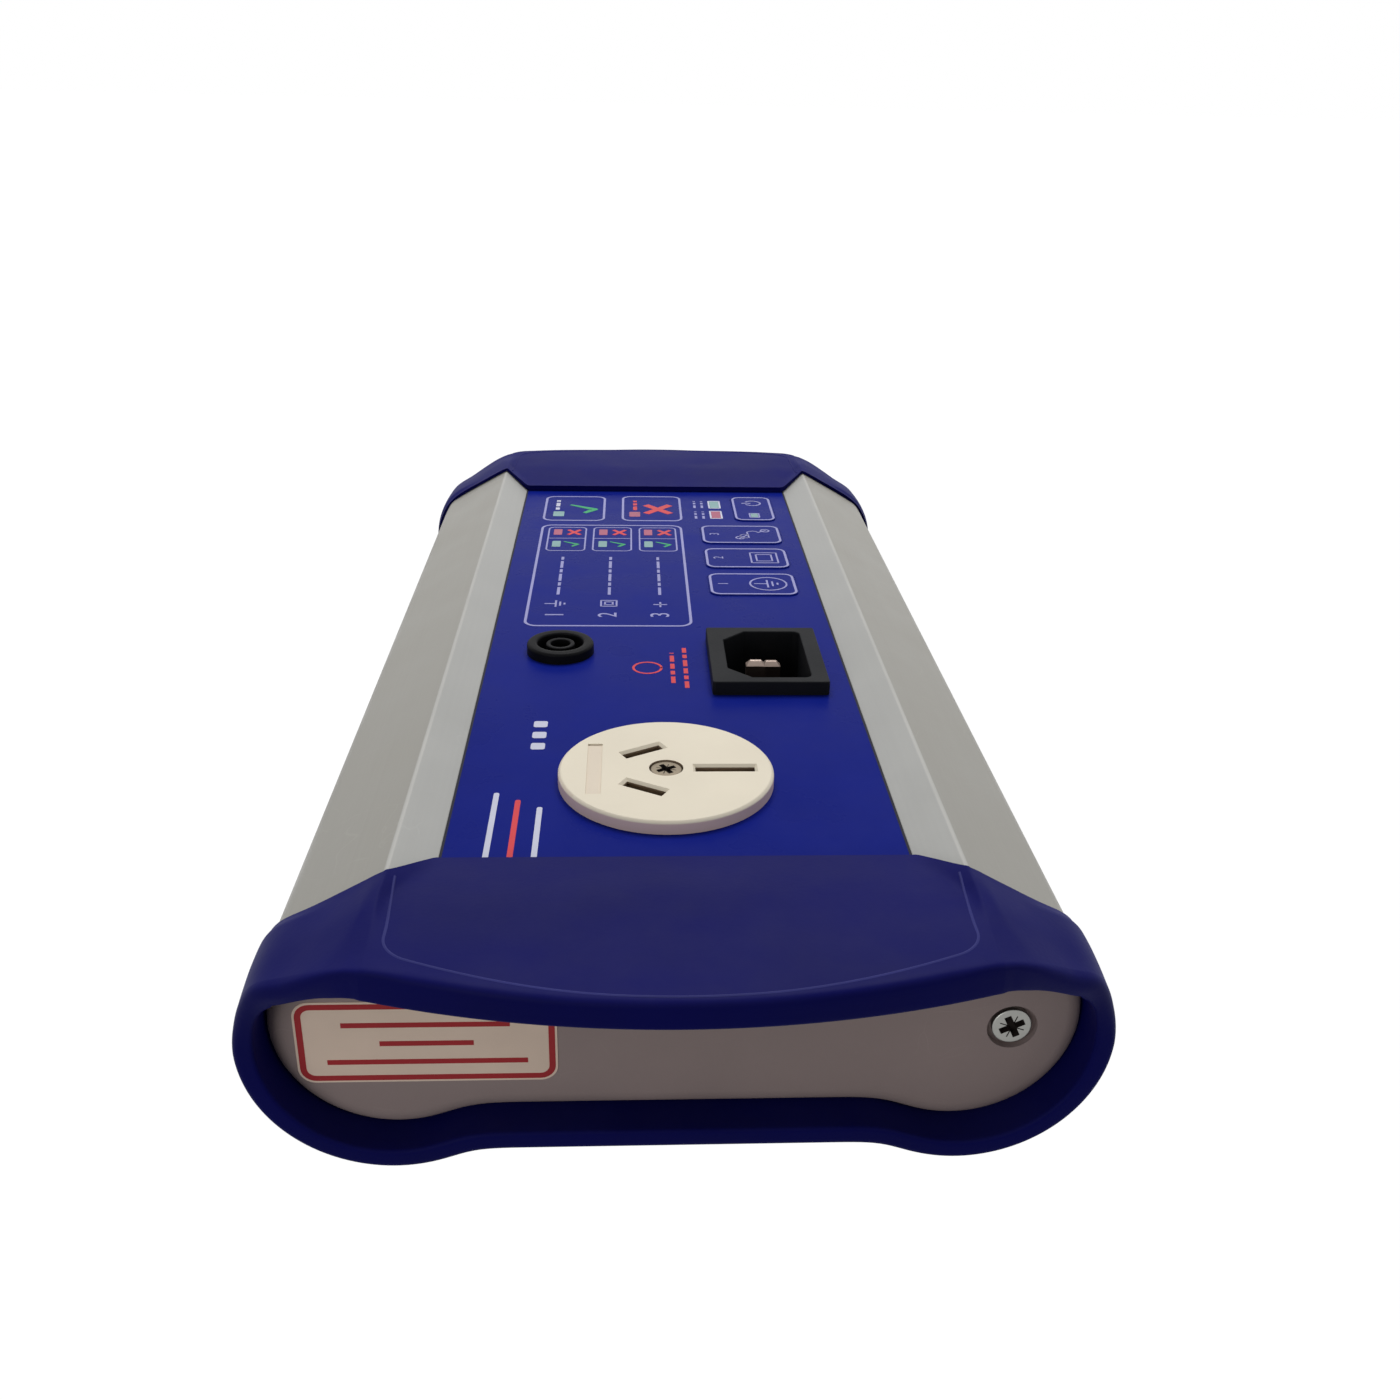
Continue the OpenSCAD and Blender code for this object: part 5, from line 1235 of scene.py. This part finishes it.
def tick(bm, corner, size, width):
    """A tick whose corner is its lowest point, with its long arm to the upper right."""
    x, y = corner
    stroke(bm, corner, (x - 0.9 * size, y + 0.55 * size), width, panel_z, 0.45)
    stroke(bm, corner, (x - 0.36 * size, y - 0.45 * size), width, panel_z, 0.7)
    dot(bm, corner, width / 2, panel_z)


def cross(bm, centre, size, width):
    """Two crossed bars, the second a hair above the first."""
    for number, turn in enumerate((-1, 1)):
        reach = Vector((size[0] / 2, turn * size[1] / 2))
        stroke(bm, Vector(centre) - reach, Vector(centre) + reach, width, panel_z + number * STEP)


for low, high, corner in BIG_FRAMES:
    frame_print(pale, low, high, corner, LINE, panel_z)
tick(green, (-17.4, 85.0), size=7.6, width=1.9)
cross(red, (0.3, 85.4), size=(6.8, 8.0), width=2.1)
for number, (x, left, right) in enumerate(ROWS, 1):
    frame_print(pale, (left, BOX_LOW), (right, BOX_HIGH), 1.6, BOX_LINE, panel_z)
    stroke(pale, (left + BOX_LINE, BOX_RULE), (right - BOX_LINE, BOX_RULE), RULE_LINE, panel_z)
    window_print(red_glow, x, ROW_WINDOW, *RED_SPAN, 0.3, panel_z)
    window_print(green_glow, x, ROW_WINDOW, *GREEN_SPAN, 0.3, panel_z)
    cross(red, (x + CROSS_AT[0], CROSS_AT[1]), size=(3.2, 4.2), width=1.0)
    tick(green, (x + TICK_AT[0], TICK_AT[1]), size=4.0, width=0.95)
    number_print(pale, str(number), (x + NUMBER_AT[0], NUMBER_AT[1]), height=4.4, level=panel_z)
for x, glow in ((-27.2, green_glow), (-6.2, red_glow)):
    window_print(glow, x, LAMP_WINDOW, LAMP_Y - LAMP_REACH, LAMP_Y + LAMP_REACH, 0.4, panel_z)
print("frames, ticks and crosses:", len(pale.faces), "pale,", len(green.faces), "green faces")

# %% Panel print: symbols and leader lines beside the numbers
SYMBOL_LINE, SQUARE_LINE, DASH_GAP = 0.45, 0.42, 1.1
LEADER_X, LEADER_SPAN = (-24.4, -12.4, -0.5), (17, 45)


def dashes(bm, x, start, end, pattern, width):
    """A dashed leader line along +Y; pattern holds the dashes' lengths, in turn."""
    y, turn = start, 0
    while y < end:
        stop = min(end, y + pattern[turn % len(pattern)])
        stroke(bm, (x, y), (x, stop), width, panel_z)
        y, turn = stop + DASH_GAP, turn + 1


def earth_symbol(bm, centre, size, level):
    """The common earth symbol: a stem and three bars. It reads along +Y."""
    x, y = centre
    stroke(bm, (x - size, y), (x, y), SYMBOL_LINE, level)
    for step, half in enumerate((0.8, 0.5, 0.2)):
        at = x + step * size * 0.38
        stroke(bm, (at, y - half * size), (at, y + half * size), SYMBOL_LINE, level + STEP)


def two_squares(bm, outer, inner, level):
    """One frame in another, each given by two opposite corners."""
    for (low, high), corner in ((outer, 0.2), (inner, 0.15)):
        frame_print(bm, low, high, corner, SQUARE_LINE, level)


earth_symbol(pale, (-24.6, 11.0), 2.6, panel_z)
two_squares(pale, ((-14.4, 9.2), (-10.4, 13.4)), ((-13.5, 10.15), (-11.3, 12.45)), panel_z)
strokes(pale, [(-1.9, 10.6), (0.9, 10.6)], SYMBOL_LINE, panel_z)
strokes(pale, [(-0.5, 9.2), (-0.5, 12.0)], SYMBOL_LINE, panel_z)
for x in LEADER_X:
    dashes(pale, x, *LEADER_SPAN, (5.0, 2.2), 0.7)
dashes(white, -27.7, 84.5, 93.5, (2.0, 3.4), 1.1)
dashes(red, -6.1, 84.5, 93.5, (3.4, 2.0), 1.1)
for x, y in ((10.7, 77), (12.8, 77), (10.7, 87), (12.8, 87)):
    dashes(pale, x, y, y + 6.5, (2.4, 1.4), 0.7)
for y, glow in ((87.0, green_glow), (77.4, red_glow)):
    frame_print(white, (14.6, y - 0.4), (18.1, y + 6.8), 0.3, SYMBOL_LINE, panel_z)
    patch_print(glow, (15.1, y + 0.1), (17.6, y + 6.3), 0.2, panel_z)
print("with symbols and leader lines:", len(pale.faces), "pale,", len(white.faces), "white faces")

# %% Panel print: plain marks at the outlet end
PATCH, PATCH_PITCH, BAR_FOOT = ((-25.6, -63.2), (-23.0, -60.6)), 4.6, -101.5
BARS = ((-30.2, -80.0, white), (-26.4, -82.5, red), (-22.6, -85.0, white))
EDGE_X, EDGE_Y, EDGE_LINE = 37.2, 106, 0.4
for x, start, end in ((1.3, -33.7, -18.1), (4.0, -36.1, -15.3)):
    dashes(red, x, start, end, (3.2, 1.8, 2.6), 0.9)
strokes(red, arc((-3.9, -26.0), 2.9, 0, 360), 0.5, panel_z)
for step in range(3):
    low, high = ((x, y + PATCH_PITCH * step) for x, y in PATCH)
    patch_print(white, low, high, 0.5, panel_z)
for x, end, bars in BARS:
    strokes(bars, [(x, BAR_FOOT), (x, end)], 0.95, panel_z)
# Dark strips along both long edges of the film: its dark cut edge, and painted shade for the gap between
# film and case.
edges = bmesh.new()
for side in (-1, 1):
    stroke(edges, (side * EDGE_X, -EDGE_Y), (side * EDGE_X, EDGE_Y), EDGE_LINE, panel_z)
for name, bm, look in (("film_edges_and_gap_shade", edges, "film_edge_and_gap_shade"), ("print_pale", pale, "panel_ink"),
                       ("print_green", green, "green_ink"), ("print_red", red, "red_ink"),
                       ("print_white", white, "white_ink"), ("windows_green", green_glow, "green_window"),
                       ("windows_red", red_glow, "red_window")):
    piece(name, bm, look, weighted=False)

# %% [markdown]
# The four keys are embossed places in the film, so each is a low cap with soft edges. The caps
# could be pressed out of the film's own mesh, but they have to slide. So a thin web of film lies
# round each one and stays, while its frame and symbol are printed on the cap and move with it.

# %% Keys
KEY_LINE, RING_LINE, CABLE_LINE = 0.6, 0.55, 0.42
KEY_ROUND, WEB_OUT, WEB_LINE, WEB_DROP, FRAME_IN = 0.1, 0.27, 0.25, 0.1 * MM, 0.25
DIGIT_X, DIGIT_H = 15.0, 2.6


def box_mm(node):
    """The corners of a CAD node's box, in millimetres."""
    return [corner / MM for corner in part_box(node)]


def frame_round(bm, node, grow, corner, line, level):
    """A frame round a node's box, moved outwards by grow."""
    low, high = box_mm(node)
    frame_print(bm, (low.x - grow, low.y - grow), (high.x + grow, high.y + grow), corner, line, level)


def key_cap(name, node, digit, draw):
    """A softened copy of the key, the web round it, and its print."""
    body = node + "_cap"
    cap = cad_copy(node)
    round_edges(cap, KEY_ROUND, 2, lambda e: middle(e).z > panel_z, degrees=30)
    piece(name, cap, "panel_film", node, body)
    web = bmesh.new()
    frame_round(web, node, WEB_OUT, 3.0, WEB_LINE, panel_z - WEB_DROP)
    piece(name + "_web", web, "panel_film", weighted=False)
    symbol = bmesh.new()
    frame_round(symbol, node, -FRAME_IN, 2.4, KEY_LINE, KEY_TOP)
    low, high = box_mm(node)
    draw(symbol, low, high)
    if digit:
        number_print(symbol, digit, (DIGIT_X, (low.y + high.y) / 2), DIGIT_H, KEY_TOP)
    piece(name + "_print", symbol, "panel_ink", body=body, weighted=False)


def power_symbol(bm, low, high):
    """The common on symbol, a broken ring with a bar, beside the lamp's window."""
    x, y = (low.x + high.x) / 2, high.y - 6.2
    strokes(bm, arc((x + 0.3, y), 2.2, 215, 505), RING_LINE, KEY_TOP)
    stroke(bm, (x - 2.8, y), (x - 0.2, y), RING_LINE, KEY_TOP)
    frame_print(bm, (x - 1.5, low.y + 2.4), (x + 1.5, low.y + 6.6), 0.5, 0.4, KEY_TOP)


def cable_symbol(bm, low, high):
    """A lead with a plug at each end."""
    y = (low.y + high.y) / 2
    bend = arc((23.2, y - 1.6), 1.5, 60, 300) + arc((25.2, y + 1.0), 1.6, 160, 20, 12)
    strokes(bm, [(21.4, y - 3.6)] + bend + [(28.8, y + 3.2)], CABLE_LINE, KEY_TOP)
    for x, side in ((21.6, -1), (28.6, 1)):
        strokes(bm, arc((x, y + side * 3.0), 1.1, 0, 360, 16), CABLE_LINE, KEY_TOP)


def double_square(bm, low, high):
    """The common double-insulation symbol."""
    y = (low.y + high.y) / 2
    two_squares(bm, ((22.9, y - 4.1), (30.0, y + 4.1)), ((24.3, y - 2.7), (28.6, y + 2.7)), KEY_TOP)


def ringed_earth(bm, low, high):
    """The common earth symbol in a ring."""
    y = (low.y + high.y) / 2
    strokes(bm, arc((25.8, y), 4.4, 0, 360, 40), SYMBOL_LINE, KEY_TOP)
    earth_symbol(bm, (25.6, y), 3.2, KEY_TOP)


key_cap("cap_power", "key_power", "", power_symbol)
key_cap("cap_three", "key_lead", "3", cable_symbol)
key_cap("cap_two", "key_class_two", "2", double_square)
key_cap("cap_one", "key_class_one", "1", ringed_earth)

window = bmesh.new()
power_low, power_high = box_mm("key_power")
window_print(window, (power_low.x + power_high.x) / 2, 1.0, power_low.y + 2.9, power_low.y + 6.1, 0.2,
             KEY_TOP)
piece("window_power", window, "green_window", body="key_power_cap", weighted=False)

# %% [markdown]
# The seal label is a cream slip with a dark red border and three plain rules. Its own CAD sheet
# is kept. The print could be drawn upright, but the helpers above lay print flat, so it is drawn
# flat and then stood up against the plate.

# %% Seal label print
BORDER_IN, BORDER_LINE, RULE_WIDTH = 0.35, 0.95, 0.9
RULES = ((10.6, 7.0, 32.0), (7.2, 12.5, 26.5), (3.8, 4.5, 34.5))
label_low, label_high = box_mm("seal_label")
label = bmesh.new()
frame_print(label, (label_low.x + BORDER_IN, label_low.z + BORDER_IN),
            (label_high.x - BORDER_IN, label_high.z - BORDER_IN), 2.3, BORDER_LINE, 0)
for height, start, end in RULES:
    z = label_low.z + height
    stroke(label, (label_low.x + start, z), (label_low.x + end, z), RULE_WIDTH, 0)
stand = Matrix.Translation((0, label_low.y * MM, 0)) @ TIPPED
bmesh.ops.transform(label, matrix=stand, verts=label.verts)
piece("label_print", label, "label_ink", weighted=False)

# %% [markdown]
# The stage is a plain floor that the camera sees as white but for the object's soft shadow, and
# plain studio light: a broad soft lamp above and behind, weaker ones in front and at the side,
# and an even sky. More lamps could make the floor white, but they would wash out the object. So
# the floor glows, and the sky has its full strength, only where the camera sees them, straight
# on or in a reflection. For all other light the floor is dark grey and the sky is weak.

# %% Stage and light
FLOOR_COLOR, FLOOR_ROUGH, FLOOR_GLOW, FLOOR_SHARE, FLOOR_SIZE = 0.09, 0.9, 1.1, 0.92, 6.0
SKY = 0.22
LAMPS = {"overhead": ((0.05, 0.42, 1.0), (0, 0, 0.03), (0.9, 0.6), 11.7),
         "front_fill": ((-0.45, -0.75, 0.18), (0, -0.1, 0.03), (0.5, 0.3), 1.65),
         "side_fill": ((0.8, -0.45, 0.25), (0, -0.1, 0.03), (0.5, 0.3), 0.7)}


def straight_ray(tree):
    """1 for what the camera sees, also in a mirror or through glass, and 0 for diffuse light."""
    path = add(tree, "ShaderNodeLightPath").outputs
    mirrored = math_node(tree, "MAXIMUM", path["Is Camera Ray"], path["Is Glossy Ray"])
    return math_node(tree, "MAXIMUM", mirrored, path["Is Transmission Ray"])


def floor_material():
    made = bpy.data.materials.new("floor_white")
    made.use_nodes = True
    tree = made.node_tree
    shader = tree.nodes["Principled BSDF"]
    for label, value in {"Base Color": (FLOOR_COLOR,) * 3 + (1,), "Roughness": FLOOR_ROUGH,
                         "Specular IOR Level": 0.0}.items():
        shader.inputs[label].default_value = value
    glow = add(tree, "ShaderNodeEmission", {"Strength": FLOOR_GLOW})
    share = math_node(tree, "MULTIPLY", straight_ray(tree), FLOOR_SHARE)
    both = add(tree, "ShaderNodeMixShader",
               {"Fac": share, 1: shader.outputs["BSDF"], 2: glow.outputs["Emission"]})
    feed(tree, tree.nodes["Material Output"].inputs["Surface"], both.outputs["Shader"])
    return made


floor_plane = bmesh.new()
bmesh.ops.create_grid(floor_plane, x_segments=1, y_segments=1, size=FLOOR_SIZE)
floor = add_object("floor", mesh_of(floor_plane, "floor"))
floor.data.materials.append(floor_material())

world = bpy.data.worlds.new("studio")
world.use_nodes = True
bpy.context.scene.world = world
sky_tree = world.node_tree
sky = sky_tree.nodes["Background"]
extra = math_node(sky_tree, "MULTIPLY", straight_ray(sky_tree), 1 - SKY)
feed(sky_tree, sky.inputs["Color"], (1.0, 1.0, 1.0, 1))
feed(sky_tree, sky.inputs["Strength"], math_node(sky_tree, "ADD", extra, SKY))

for name, (place, target, size, power) in LAMPS.items():
    lamp = bpy.data.lights.new(name, "AREA")
    lamp.shape = "RECTANGLE"
    lamp.size, lamp.size_y = size
    lamp.energy = power
    holder = add_object(name, lamp)
    holder.location = place
    holder.rotation_mode = "QUATERNION"
    holder.rotation_quaternion = (Vector(target) - Vector(place)).to_track_quat("-Z", "Y")
bpy.context.scene.view_settings.view_transform = "Standard"
print("lamps:", {name: lamp[-1] for name, lamp in LAMPS.items()}, "watts")
